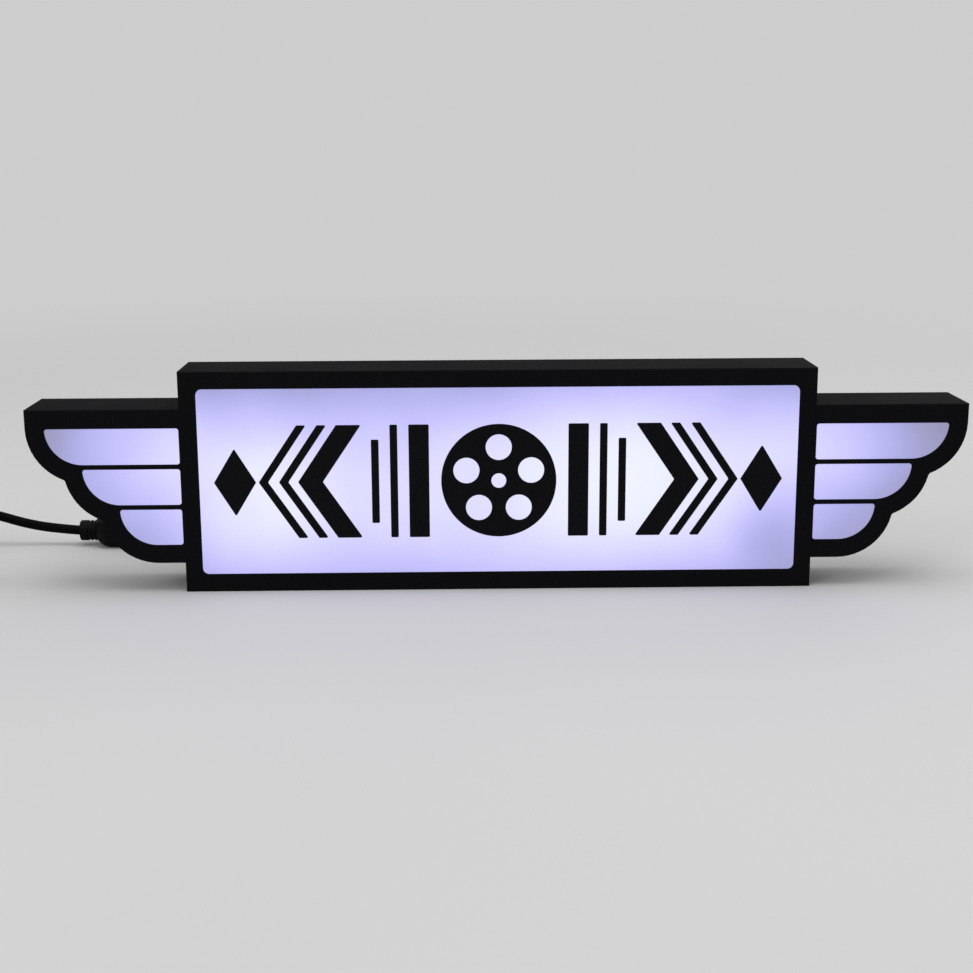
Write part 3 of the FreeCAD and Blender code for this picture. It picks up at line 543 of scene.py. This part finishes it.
def outside_of_bow(tree, place):
    """How far outside the round-cornered bow between the two jumpers a point is."""
    low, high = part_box("strip_jumpers")
    half_high = (high.z - low.z) / 2 - pair_half_width
    axes = add(tree, "ShaderNodeSeparateXYZ", {"Vector": place}).outputs
    left = maths(tree, "SUBTRACT", low.x + pair_half_width + jumper_bend, axes["X"])
    left = maths(tree, "MAXIMUM", left, 0.0)
    off = distance(tree, axes["Z"], (low.z + high.z) / 2)
    up = maths(tree, "SUBTRACT", off, half_high - jumper_bend)
    up = maths(tree, "MAXIMUM", up, 0.0)
    corner = triple(tree, x=left, z=up)
    reach = add(tree, "ShaderNodeVectorMath", {0: corner}, operation="LENGTH").outputs["Value"]
    return maths(tree, "SUBTRACT", reach, jumper_bend)


def wire_pair(name, parting):
    """PVC sheaths, red past the parting between two wires and black before it."""
    finish, tree, shader, place = new_finish(name)
    side = parting(tree, place)
    past = ranged(tree, side, low=0.0, high=1.0, start=-parting_blur, end=parting_blur)
    fine = noise(tree, place, scale=700.0)
    black = blend(tree, fine, (0.006, 0.006, 0.006), (0.012, 0.012, 0.012))
    red = blend(tree, fine, (0.30, 0.012, 0.010), (0.42, 0.020, 0.016))
    tree.links.new(blend(tree, past, black, red), shader.inputs["Base Color"])
    tree.links.new(ranged(tree, fine, low=0.32, high=0.45), shader.inputs["Roughness"])
    pitted(tree, shader, fine, strength=0.1, depth=0.00003)
    return finish


supply_sheath = wire_pair("supply sheath", right_of_middle)
jumper_sheath = wire_pair("jumper sheath", outside_of_bow)
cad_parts["supply_wires"].material_slots[0].material = supply_sheath
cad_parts["strip_jumpers"].material_slots[0].material = jumper_sheath


# ---- Cover screws ----
# Eight small countersunk cross-head screws of blackened steel, driven through the cover into the
# shell's bosses. No two stop at the same angle.
screw_inset = 0.0054
box_half = 0.110
wing_screw = (0.1569, 0.0597)
head_radius = 0.0026
shank_radius = 0.0013
screw_length = 0.008
cross_length = 0.0028
cross_width = 0.00062
cross_depth = 0.0009
sliver = 5e-6
angle_seed = 4


def cross_screws():
    """Cross-head screws, one at each point, driven along an axis, each at its own angle.

    A slot's cutter is twice its depth, because half of it stands out of the head. The second
    slot is a little shallower, so that the two floors don't lie in one plane.
    """
    tree, given = new_tree(
        "cross screws",
        head="Float",
        neck="Float",
        sink="Float",
        shank="Float",
        length="Float",
        cross="Float",
        slot="Float",
        depth="Float",
        axis="Vector",
        steel="Material",
    )
    head = add(
        tree,
        "GeometryNodeMeshCone",
        {
            "Vertices": 48,
            "Radius Top": given["Neck"],
            "Radius Bottom": given["Head"],
            "Depth": given["Sink"],
        },
    ).outputs["Mesh"]
    for across, along, cut in (("Cross", "Slot", 2.0), ("Slot", "Cross", 1.9)):
        deep = maths(tree, "MULTIPLY", given["Depth"], cut)
        size = triple(tree, given[across], given[along], deep)
        bar = add(tree, "GeometryNodeMeshCube", {"Size": size})
        head = add(
            tree,
            "GeometryNodeMeshBoolean",
            {"Mesh 1": head, "Mesh 2": bar.outputs["Mesh"]},
            operation="DIFFERENCE",
        ).outputs["Mesh"]
    head = add(
        tree, "GeometryNodeMergeByDistance", {"Geometry": head, "Distance": sliver}
    ).outputs["Geometry"]
    shank = add(
        tree,
        "GeometryNodeMeshCylinder",
        {
            "Vertices": 32,
            "Radius": given["Shank"],
            "Depth": maths(tree, "SUBTRACT", given["Length"], given["Depth"]),
        },
    )
    middle = maths(tree, "MULTIPLY", maths(tree, "ADD", given["Length"], given["Depth"]), 0.5)
    shank = add(
        tree,
        "GeometryNodeTransform",
        {"Geometry": shank.outputs["Mesh"], "Translation": triple(tree, z=middle)},
    )
    whole = add(tree, "GeometryNodeJoinGeometry", {"Geometry": shank.outputs["Geometry"]})
    tree.links.new(head, whole.inputs["Geometry"])
    aimed = add(
        tree, "FunctionNodeAlignRotationToVector", {"Vector": given["Axis"]}, axis="Z"
    )
    leaning = add(
        tree,
        "GeometryNodeTransform",
        {"Geometry": whole.outputs["Geometry"], "Rotation": aimed.outputs["Rotation"]},
    )
    angle = add(tree, "FunctionNodeRandomValue", {"Seed": angle_seed}, data_type="FLOAT")
    most = angle.inputs[3]
    most.default_value = math.pi / 2
    spin = add(
        tree,
        "FunctionNodeAxisAngleToRotation",
        {"Axis": given["Axis"], "Angle": angle.outputs[1]},
    )
    placed = add(
        tree,
        "GeometryNodeInstanceOnPoints",
        {
            "Points": given["Geometry"],
            "Instance": leaning.outputs["Geometry"],
            "Rotation": spin.outputs["Rotation"],
        },
    )
    finished(tree, placed.outputs["Instances"], given["Steel"])
    return tree


def blackened_steel():
    """Oxide-black steel, turned, worn to bare metal where a driver or a hand rubs it."""
    finish, tree, shader, place = new_finish("blackened steel")
    edge_patches = rubbed_and_sheen_edges(tree, place, reach=0.0003)
    shown = blend(tree, edge_patches, (0.035, 0.035, 0.038), (0.32, 0.31, 0.30))
    tree.links.new(shown, shader.inputs["Base Color"])
    shader.inputs["Metallic"].default_value = 0.9
    turning = noise(tree, place, scale=1800.0, detail=2.0)
    tree.links.new(ranged(tree, turning, low=0.34, high=0.5), shader.inputs["Roughness"])
    pitted(tree, shader, turning, strength=0.2, depth=0.00003)
    return finish


screw_steel = blackened_steel()
screw_tree = cross_screws()
cover_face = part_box("rear_cover")[1].y
box_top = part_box("casing")[1].z
screw_places = [(0.0, cover_face, screw_inset), (0.0, cover_face, box_top - screw_inset)]
for side in (-1, 1):
    x = side * (box_half - screw_inset)
    screw_places.append((x, cover_face, screw_inset))
    screw_places.append((x, cover_face, box_top - screw_inset))
    screw_places.append((side * wing_screw[0], cover_face, wing_screw[1]))
screws = grown(
    "screws",
    points_at("screws", screw_places),
    screw_tree,
    head=head_radius,
    neck=shank_radius,
    sink=head_radius - shank_radius,
    shank=shank_radius,
    length=screw_length,
    cross=cross_length,
    slot=cross_width,
    depth=cross_depth,
    axis=(0.0, -1.0, 0.0),
    steel=screw_steel,
)
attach(screws, "box")
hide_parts("cover_screws")


# ---- Gland ----
# A soft black bush snapped into the cover's round hole. Outside it is a boot with ribs, so that
# the lead bends gently; inside, a nylon tie round the lead stops it from being drawn out.
rib_pitch = 0.0016
rib_width = 0.0008
groove_depth = 0.00035
boot_bore = 0.00193
boot_radius = 0.0040
boot_nose = 0.0032
boot_round = 0.0006
gland_ribs = 4
gland_place = (-0.028, 0.013)
gland_tail = (
    (0, 0.0056),
    (0.0014, 0.0056),
    (0.0014, 0.0039),
    (0.0038, 0.0039),
    (0.0038, 0.0056),
    (0.0052, 0.0056),
)


def rounded_profile(corners, radius, steps=3):
    """A lathe profile with every corner broken by a curve, up to two fifths of a side."""
    points = []
    loop = [Vector(corner) for corner in corners]
    for before, here, after in zip(loop[-1:] + loop[:-1], loop, loop[1:] + loop[:1]):
        reach = min(radius, (before - here).length / 2.5, (after - here).length / 2.5)
        enter = here + (before - here).normalized() * reach
        leave = here + (after - here).normalized() * reach
        for step in range(steps + 1):
            t = step / steps
            points.append(enter * (1 - t) ** 2 + here * (2 * t * (1 - t)) + leave * t**2)
    return points


def lathed(name, start, axis, corners, radius, sides=64):
    """A closed profile of (along, outwards) turned about an axis, as a mesh."""
    axis = Vector(axis)
    side = axis.orthogonal().normalized()
    across = axis.cross(side)
    profile = rounded_profile(corners, radius)
    shape = bmesh.new()
    rings = []
    for i in range(sides):
        angle = 2 * math.pi * i / sides
        out = side * math.cos(angle) + across * math.sin(angle)
        rings.append([shape.verts.new(Vector(start) + axis * a + out * r) for a, r in profile])
    for ring, after in zip(rings, rings[1:] + rings[:1]):
        for j in range(len(profile)):
            k = (j + 1) % len(profile)
            shape.faces.new((ring[j], ring[k], after[k], after[j]))
    bmesh.ops.recalc_face_normals(shape, faces=shape.faces)
    for face in shape.faces:
        face.smooth = True
    mesh = bpy.data.meshes.new(name)
    shape.to_mesh(mesh)
    shape.free()
    return mesh


def ribs_on_boot():
    """Round ribs in a row on a boot's body."""
    tree, given = new_tree(
        "ribs on boot",
        first="Vector",
        step="Vector",
        count="Int",
        radius="Float",
        width="Float",
        height="Float",
        rubber="Material",
    )
    hoop = add(
        tree,
        "GeometryNodeCurvePrimitiveCircle",
        {"Resolution": 64, "Radius": maths(tree, "SUBTRACT", given["Radius"], given["Height"])},
        mode="RADIUS",
    )
    upright = add(
        tree, "GeometryNodeSetCurveNormal", {"Curve": hoop.outputs["Curve"]}, mode="Z_UP"
    )
    section = add(
        tree,
        "GeometryNodeCurvePrimitiveQuadrilateral",
        {"Width": maths(tree, "MULTIPLY", given["Height"], 2.0), "Height": given["Width"]},
    )
    eased = add(
        tree,
        "GeometryNodeFilletCurve",
        {
            "Curve": section.outputs["Curve"],
            "Radius": maths(tree, "MULTIPLY", given["Width"], 0.3),
            "Count": 4,
        },
        mode="POLY",
    )
    rib = add(
        tree,
        "GeometryNodeCurveToMesh",
        {"Curve": upright.outputs["Curve"], "Profile Curve": eased.outputs["Curve"]},
    )
    aimed = add(
        tree, "FunctionNodeAlignRotationToVector", {"Vector": given["Step"]}, axis="Z"
    )
    line = add(
        tree,
        "GeometryNodeMeshLine",
        {"Count": given["Count"], "Start Location": given["First"], "Offset": given["Step"]},
    )
    row = add(
        tree,
        "GeometryNodeInstanceOnPoints",
        {
            "Points": line.outputs["Mesh"],
            "Instance": rib.outputs["Mesh"],
            "Rotation": aimed.outputs["Rotation"],
        },
    )
    whole = add(tree, "GeometryNodeJoinGeometry", {"Geometry": given["Geometry"]})
    tree.links.new(row.outputs["Instances"], whole.inputs["Geometry"])
    finished(tree, whole.outputs["Geometry"], given["Rubber"])
    return tree


boot_rubber = moulded(
    "boot rubber", (0.0018, 0.0018, 0.0018), grain=1800.0, roughness=0.52, shine=0.08
)
rib_tree = ribs_on_boot()


def ribbed_boot(name, tip, inward, ribs, tail):
    """A boot from its round nose: a plain length, ribs, and then the corners of its tail."""
    start = boot_nose + ribs * rib_pitch
    corners = [
        (0.0, boot_bore),
        (0.0, boot_radius),
        (boot_nose, boot_radius),
        (boot_nose, boot_radius - groove_depth),
        (start, boot_radius - groove_depth),
        *[(start + along, radius) for along, radius in tail],
        (start + tail[-1][0], boot_bore),
    ]
    inward = Vector(inward)
    body = lathed(name, tip, inward, corners, boot_round)
    return grown(
        name,
        body,
        rib_tree,
        first=Vector(tip) + inward * (boot_nose + rib_pitch - rib_width / 2),
        step=inward * rib_pitch,
        count=ribs,
        radius=boot_radius,
        width=rib_width,
        height=groove_depth,
        rubber=boot_rubber,
    )


gland_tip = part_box("cord_gland")[1].y
gland = ribbed_boot(
    "gland",
    (gland_place[0], gland_tip, gland_place[1]),
    (0, -1, 0),
    gland_ribs,
    gland_tail,
)
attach(gland, "box")
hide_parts("cord_gland")
tie_nylon, tie_shader = speckled(
    "tie nylon", (0.55, 0.54, 0.50), roughness=0.4, speckle=0.04
)
tie_shader.inputs["Subsurface Weight"].default_value = 0.15
tie_shader.inputs["Subsurface Radius"].default_value = (0.001, 0.001, 0.0008)
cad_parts["cord_tie"].material_slots[0].material = tie_nylon


# ---- In-line switch ----
# Two black half cases, the lower one rounded like a keel, are screwed together from below round
# the lead's two boots. The rocker key turns on its own axle in the upper half.
switch_middle = (-0.130, 0.055)
switch_axis = 0.00575
switch_half = 0.026
boot_length = 0.0064
boot_ribs = 2
boot_tail = (
    (0, 0.0040),
    (0.0014, 0.0040),
    (0.0014, 0.0029),
    (0.0030, 0.0029),
    (0.0030, 0.00415),
    (0.0044, 0.00415),
)
case_screw_out = (0.017, 0.0035)
case_head_radius = 0.0016
switch_black = moulded(
    "switch black", (0.0028, 0.0028, 0.0030), grain=2000.0, roughness=0.55, shine=0.08
)
for cad_node, name in (("switch_base", "switch_under"), ("switch_lid", "switch_upper")):
    case = skin_of(cad_node, name, edge=0.00015, finish=switch_black)
    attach(case, "box")
    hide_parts(cad_node)
for side, name in ((1, "right"), (-1, "left")):
    boot = ribbed_boot(
        f"boot_{name}",
        (switch_middle[0] + side * (switch_half + boot_length), switch_middle[1], switch_axis),
        (-side, 0, 0),
        boot_ribs,
        boot_tail,
    )
    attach(boot, "box")
    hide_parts(f"switch_relief_{name}")
screws_low, screws_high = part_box("switch_screws")
case_screw_places = [
    (
        switch_middle[0] + side * case_screw_out[0],
        switch_middle[1] + side * case_screw_out[1],
        screws_low.z,
    )
    for side in (-1, 1)
]
case_screws = grown(
    "case_screws",
    points_at("case_screws", case_screw_places),
    screw_tree,
    head=case_head_radius,
    neck=case_head_radius,
    sink=0.001,
    shank=0.0009,
    length=screws_high.z - screws_low.z,
    cross=0.0019,
    slot=0.00045,
    depth=0.0006,
    axis=(0.0, 0.0, 1.0),
    steel=screw_steel,
)
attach(case_screws, "box")
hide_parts("switch_screws")
brass, brass_shader = speckled(
    "stamped brass", (0.72, 0.52, 0.24), roughness=0.3, speckle=0.06
)
brass_shader.inputs["Metallic"].default_value = 1.0
for cad_node in ("switch_contacts", "switch_leaf"):
    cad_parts[cad_node].material_slots[0].material = brass


# ---- Rocker key ----
# A glossier black see-saw key with a shallow valley. A bar on the slope that is pressed for on,
# and a ring on the other, are printed in white.
axle_height = 0.0083
pivot = Vector((*switch_middle, axle_height))
key_tilt = math.radians(9.0)
key_half_length = 0.005775
valley_height = 0.0031
valley_depth = 0.0012
key_slope = math.atan2(valley_depth, key_half_length)
mark_out = 0.0033
mark_proud = 0.00004
bar_half_width = 0.00018
bar_half_length = 0.0012
ring_outside = 0.00125
ring_inside = 0.0009
ring_sides = 48
key_black = moulded(
    "key black", (0.0052, 0.0052, 0.0056), grain=900.0, roughness=0.36, shine=0.3
)
key = skin_of("switch_rocker", "key", edge=0.0003, finish=key_black)
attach(key, "rocker")
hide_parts("switch_rocker")
mark_white, _ = speckled(
    "mark white", (0.66, 0.66, 0.64), roughness=0.45, speckle=0.06, scale=2500.0
)


def printed_mark(name, outline, hole, side):
    """A thin printed mark on one slope of the key, solid where it is given no hole."""
    shape = bmesh.new()
    (top, top_hole), (low, low_hole) = [
        [[shape.verts.new((x, y, height)) for x, y in ring] for ring in (outline, hole)]
        for height in (mark_proud, -mark_proud)
    ]
    for i in range(len(outline)):
        j = (i + 1) % len(outline)
        shape.faces.new((top[j], top[i], low[i], low[j]))
        if hole:
            shape.faces.new((top[i], top[j], top_hole[j], top_hole[i]))
            shape.faces.new((low[j], low[i], low_hole[i], low_hole[j]))
            shape.faces.new((top_hole[i], top_hole[j], low_hole[j], low_hole[i]))
    if not hole:
        shape.faces.new(top)
        shape.faces.new(low)
    bmesh.ops.recalc_face_normals(shape, faces=shape.faces)
    mesh = bpy.data.meshes.new(name)
    shape.to_mesh(mesh)
    shape.free()
    mesh.transform(Matrix.Rotation(-side * key_slope, 4, "Y"))
    lift = valley_height + mark_out * math.tan(key_slope)
    mesh.transform(Matrix.Translation((side * mark_out, 0, lift)))
    mesh.transform(Matrix.Rotation(key_tilt, 4, "Y"))
    mesh.transform(Matrix.Translation(pivot))
    mesh.materials.append(mark_white)
    piece = bpy.data.objects.new(name, mesh)
    workshop.objects.link(piece)
    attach(piece, "rocker")
    return piece


turns = [2 * math.pi * i / ring_sides for i in range(ring_sides)]
circle = [(math.cos(turn), math.sin(turn)) for turn in turns]
square = ((-1, -1), (1, -1), (1, 1), (-1, 1))
on_mark = printed_mark(
    "key_on",
    outline=[(x * bar_half_width, y * bar_half_length) for x, y in square],
    hole=[],
    side=1,
)
off_mark = printed_mark(
    "key_off",
    outline=[(x * ring_outside, y * ring_outside) for x, y in circle],
    hole=[(x * ring_inside, y * ring_inside) for x, y in circle],
    side=-1,
)


# ---- Lead from the box to the switch ----
# A round black PVC lead, 3.7 mm thick. It leaves the gland straight, bends round and lies on the
# table on its way to the switch's right boot.
lead_thickness = 0.0037
route_to_switch = [
    (-0.0280, 0.0235, 0.0130),
    (-0.0280, 0.0355, 0.0126),
    (-0.0304, 0.0448, 0.0106),
    (-0.0366, 0.0524, 0.0076),
    (-0.0456, 0.0572, 0.0048),
    (-0.0564, 0.0589, 0.0029),
    (-0.0686, 0.0576, 0.0024),
    (-0.0820, 0.0553, 0.0039),
    (-0.0976, 0.0550, 0.00575),
]


def lead_finish():
    """Soft PVC with a faint haze and a slightly wavy skin."""
    finish, tree, shader, place = new_finish("lead sheath")
    haze = noise(tree, place, scale=160.0, detail=5.0)
    body = blend(tree, haze, (0.0014, 0.0014, 0.0014), (0.0034, 0.0034, 0.0032))
    tree.links.new(body, shader.inputs["Base Color"])
    tree.links.new(ranged(tree, haze, low=0.46, high=0.62), shader.inputs["Roughness"])
    fine = noise(tree, place, scale=2200.0, detail=2.0)
    skin = maths(tree, "MULTIPLY_ADD", fine, 0.3, haze)
    pitted(tree, shader, skin, strength=0.35, depth=0.0001)
    shader.inputs["Specular IOR Level"].default_value = 0.03
    return finish


def laid(name, points, thickness, finish):
    """A lead along its route, as one smooth spline."""
    curve = bpy.data.curves.new(name, "CURVE")
    curve.dimensions = "3D"
    curve.bevel_depth = thickness / 2
    curve.bevel_resolution = 6
    curve.use_fill_caps = True
    spline = curve.splines.new("NURBS")
    spline.points.add(len(points) - 1)
    for point, place in zip(spline.points, points):
        point.co = (*place, 1.0)
    spline.order_u = 3
    spline.use_endpoint_u = True
    spline.resolution_u = 6
    curve.materials.append(finish)
    piece = bpy.data.objects.new(name, curve)
    workshop.objects.link(piece)
    return piece


lead_black = lead_finish()
lead_to_switch = laid("lead_to_switch", route_to_switch, lead_thickness, lead_black)
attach(lead_to_switch, "box")
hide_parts("cord_to_switch")
for stub in ("cord_inner", "switch_cord_ends"):
    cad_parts[stub].material_slots[0].material = lead_black


# ---- Strap ----
# A short black hook-and-loop strap, woven and brushed, holds the coil of spare lead. Its free
# end is lapped over the outside.
def woven():
    """Woven tape under a brushed pile of fine loops."""
    finish, tree, shader, place = new_finish("strap weave")
    weave = add(
        tree,
        "ShaderNodeTexWave",
        {"Vector": place, "Scale": 620.0, "Distortion": 5.0, "Detail": 3.0},
        wave_type="BANDS",
        bands_direction="DIAGONAL",
    ).outputs["Fac"]
    loops = noise(tree, place, scale=2600.0)
    pile = maths(tree, "MULTIPLY_ADD", weave, 0.4, loops)
    fluff = ranged(tree, pile, low=0.0, high=1.0, start=0.45, end=0.95)
    body = blend(tree, fluff, (0.004, 0.004, 0.005), (0.020, 0.020, 0.022))
    tree.links.new(body, shader.inputs["Base Color"])
    tree.links.new(ranged(tree, loops, low=0.82, high=0.98), shader.inputs["Roughness"])
    pitted(tree, shader, pile, strength=0.8, depth=0.0003)
    shader.inputs["Sheen Weight"].default_value = 0.25
    shader.inputs["Specular IOR Level"].default_value = 0.15
    return finish


strap = skin_of("coil_strap", "strap", edge=0.00015, finish=woven())
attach(strap, "box")
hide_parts("coil_strap")


# ---- Plug ----
# A flat supply plug: a black moulded grip dented for finger and thumb, a folded sleeve of
# nickelled steel, and in it a white tongue with four gilt strips.
grip = skin_of("plug_body", "grip", edge=0.00012, finish=boot_rubber)
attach(grip, "box")
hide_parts("plug_body")


def nickelled():
    """Nickel-plated sheet, drawn lengthwise, with faint scratches from use."""
    finish, tree, shader, place = new_finish("nickelled steel")
    stretch = add(tree, "ShaderNodeMapping", {"Vector": place, "Scale": (1.0, 14.0, 14.0)})
    drawn = noise(tree, stretch.outputs["Vector"], scale=300.0)
    edge_patches = rubbed_and_sheen_edges(tree, place, reach=0.0002)
    body = blend(tree, drawn, (0.50, 0.50, 0.51), (0.70, 0.70, 0.70))
    tree.links.new(blend(tree, edge_patches, body, (0.74, 0.68, 0.58)), shader.inputs["Base Color"])
    tree.links.new(ranged(tree, drawn, low=0.18, high=0.36), shader.inputs["Roughness"])
    pitted(tree, shader, drawn, strength=0.05, depth=0.00003)
    shader.inputs["Metallic"].default_value = 1.0
    return finish


sleeve = skin_of("plug_shell", "sleeve", edge=0.0001, finish=nickelled(), flatter_than=0.0)
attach(sleeve, "box")
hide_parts("plug_shell")
tongue_white, _ = speckled("tongue white", (0.78, 0.78, 0.76), roughness=0.45, speckle=0.03)
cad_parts["plug_tongue"].material_slots[0].material = tongue_white
gilt, gilt_shader = speckled("gilt strips", (0.83, 0.62, 0.28), roughness=0.22, speckle=0.05)
gilt_shader.inputs["Metallic"].default_value = 1.0
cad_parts["plug_contacts"].material_slots[0].material = gilt


# ---- Lead from the switch to the plug ----
# The same lead goes on from the switch's left boot, rises onto a neat coil of the spare length
# and leaves from under it to the plug.
coil_middle = (-0.2310, 0.0302)
coil_outer = 0.0248
coil_inner = 0.0152
coil_top = 0.0140
coil_layer = 0.00375
coil_layers = 4
coil_turns = 10.25
coil_settle = 0.3
points_per_turn = 20
route_to_coil = [
    (-0.1624, 0.0550, 0.00575),
    (-0.1725, 0.0550, 0.0066),
    (-0.1835, 0.0550, 0.0086),
    (-0.1950, 0.0550, 0.0122),
    (-0.2065, 0.0549, 0.0149),
    (-0.2185, 0.0551, 0.0149),
]
route_to_plug = [
    (-0.2563, 0.0210, 0.0024),
    (-0.2553, 0.0119, 0.0021),
    (-0.2511, 0.0037, 0.0020),
    (-0.2443, -0.0025, 0.0025),
    (-0.2357, -0.0056, 0.00375),
    (-0.2265, -0.0056, 0.00375),
]


def coil_points():
    """Layers wound in and out in turn, from the top rear to the bottom left.

    At the end of each layer the lead eases down to the next one. The points lie a little outside
    the turns, because the spline cuts inside them.
    """
    per_layer = coil_turns / coil_layers
    placed = []
    for step in range(int(coil_turns * points_per_turn) + 1):
        turn = step / points_per_turn
        layer = min(int(turn / per_layer), coil_layers - 1)
        within = turn / per_layer - layer
        inward = within if layer % 2 == 0 else 1 - within
        radius = coil_outer + (coil_inner - coil_outer) * inward
        radius /= math.cos(math.pi / points_per_turn)
        drop = max(0.0, 1 - (1 - within) * per_layer / coil_settle)
        if layer == coil_layers - 1:
            drop = 0.0
        eased = drop * drop * (3 - 2 * drop)
        height = coil_top - coil_layer * (layer + eased)
        angle = math.pi / 2 + 2 * math.pi * turn
        x = coil_middle[0] + radius * math.cos(angle)
        y = coil_middle[1] + radius * math.sin(angle)
        placed.append((x, y, height))
    return placed


lead_to_plug = laid(
    "lead_to_plug", route_to_coil + coil_points() + route_to_plug, lead_thickness, lead_black
)
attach(lead_to_plug, "box")
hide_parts("cord_to_coil", "cord_coil", "cord_to_plug")


# ---- Table, light and camera ----
# A plain pale table that fades into an even pale distance, a large soft lamp overhead, and
# weaker ones from the front left and the rear right.
distance_tone = (0.61, 0.61, 0.615)
table_reach = 6.0
fade_start = 0.25
fade_end = 1.1


def seamless_paint():
    """Pale matt paint that the eye and the gloss on things see fade into the distance."""
    finish, tree, shader, place = new_finish("table paint")
    clouds = noise(tree, place, scale=3.0)
    paint = blend(tree, clouds, (0.56, 0.555, 0.56), (0.62, 0.615, 0.615))
    tree.links.new(paint, shader.inputs["Base Color"])
    shader.inputs["Roughness"].default_value = 0.7
    shader.inputs["Specular IOR Level"].default_value = 0.15
    off = add(tree, "ShaderNodeVectorMath", {0: place}, operation="LENGTH")
    far = add(
        tree,
        "ShaderNodeMapRange",
        {"Value": off.outputs["Value"], "From Min": fade_start, "From Max": fade_end},
        interpolation_type="SMOOTHSTEP",
    )
    seen = add(tree, "ShaderNodeLightPath").outputs
    shown = maths(tree, "MAXIMUM", seen["Is Camera Ray"], seen["Is Glossy Ray"])
    shown = maths(tree, "MAXIMUM", shown, seen["Is Transmission Ray"])
    share = maths(tree, "MULTIPLY", far.outputs["Result"], shown)
    haze = add(tree, "ShaderNodeEmission", {"Color": (*distance_tone, 1.0), "Strength": 1.0})
    whole = add(tree, "ShaderNodeMixShader", {0: share})
    tree.links.new(shader.outputs["BSDF"], whole.inputs[1])
    tree.links.new(haze.outputs["Emission"], whole.inputs[2])
    tree.links.new(whole.outputs["Shader"], tree.nodes["Material Output"].inputs["Surface"])
    return finish


table_mesh = bpy.data.meshes.new("table")
table_mesh.from_pydata(
    [(x * table_reach, y * table_reach, 0.0) for x, y in square], [], [(0, 1, 2, 3)]
)
table_mesh.materials.append(seamless_paint())
table = bpy.data.objects.new("table", table_mesh)
workshop.objects.link(table)


def softbox(name, place, target, size, power):
    """A square area lamp at a place, turned to a target."""
    lamp = bpy.data.lights.new(name, "AREA")
    lamp.shape = "SQUARE"
    lamp.size = size
    lamp.energy = power
    stand = bpy.data.objects.new(name, lamp)
    stand.location = place
    aim = Vector(target) - Vector(place)
    stand.rotation_euler = aim.to_track_quat("-Z", "Y").to_euler()
    workshop.objects.link(stand)


softbox("overhead", (0.1, -0.15, 1.3), target=(0, 0, 0), size=1.0, power=8.0)
softbox("front fill", (-0.9, -1.1, 0.9), target=(0, 0, 0.04), size=0.7, power=3.5)
softbox("rear fill", (0.8, 1.2, 0.8), target=(0, 0, 0.04), size=0.9, power=2.5)
world = bpy.data.worlds.new("room")
world.use_nodes = True
bpy.context.scene.world = world
air = world.node_tree.nodes["Background"].inputs
air["Color"].default_value = (*distance_tone, 1.0)
air["Strength"].default_value = 1.0

eye = bpy.data.cameras.new("camera")
eye.lens = 57.97
eye.sensor_width = 36.0
camera = bpy.data.objects.new("camera", eye)
camera.location = (-0.01326, -0.5445, 0.1565)
camera.rotation_euler = [math.radians(angle) for angle in (77.356, 0.254, -1.022)]
workshop.objects.link(camera)
bpy.context.scene.camera = camera
bpy.context.scene.view_settings.view_transform = "Standard"
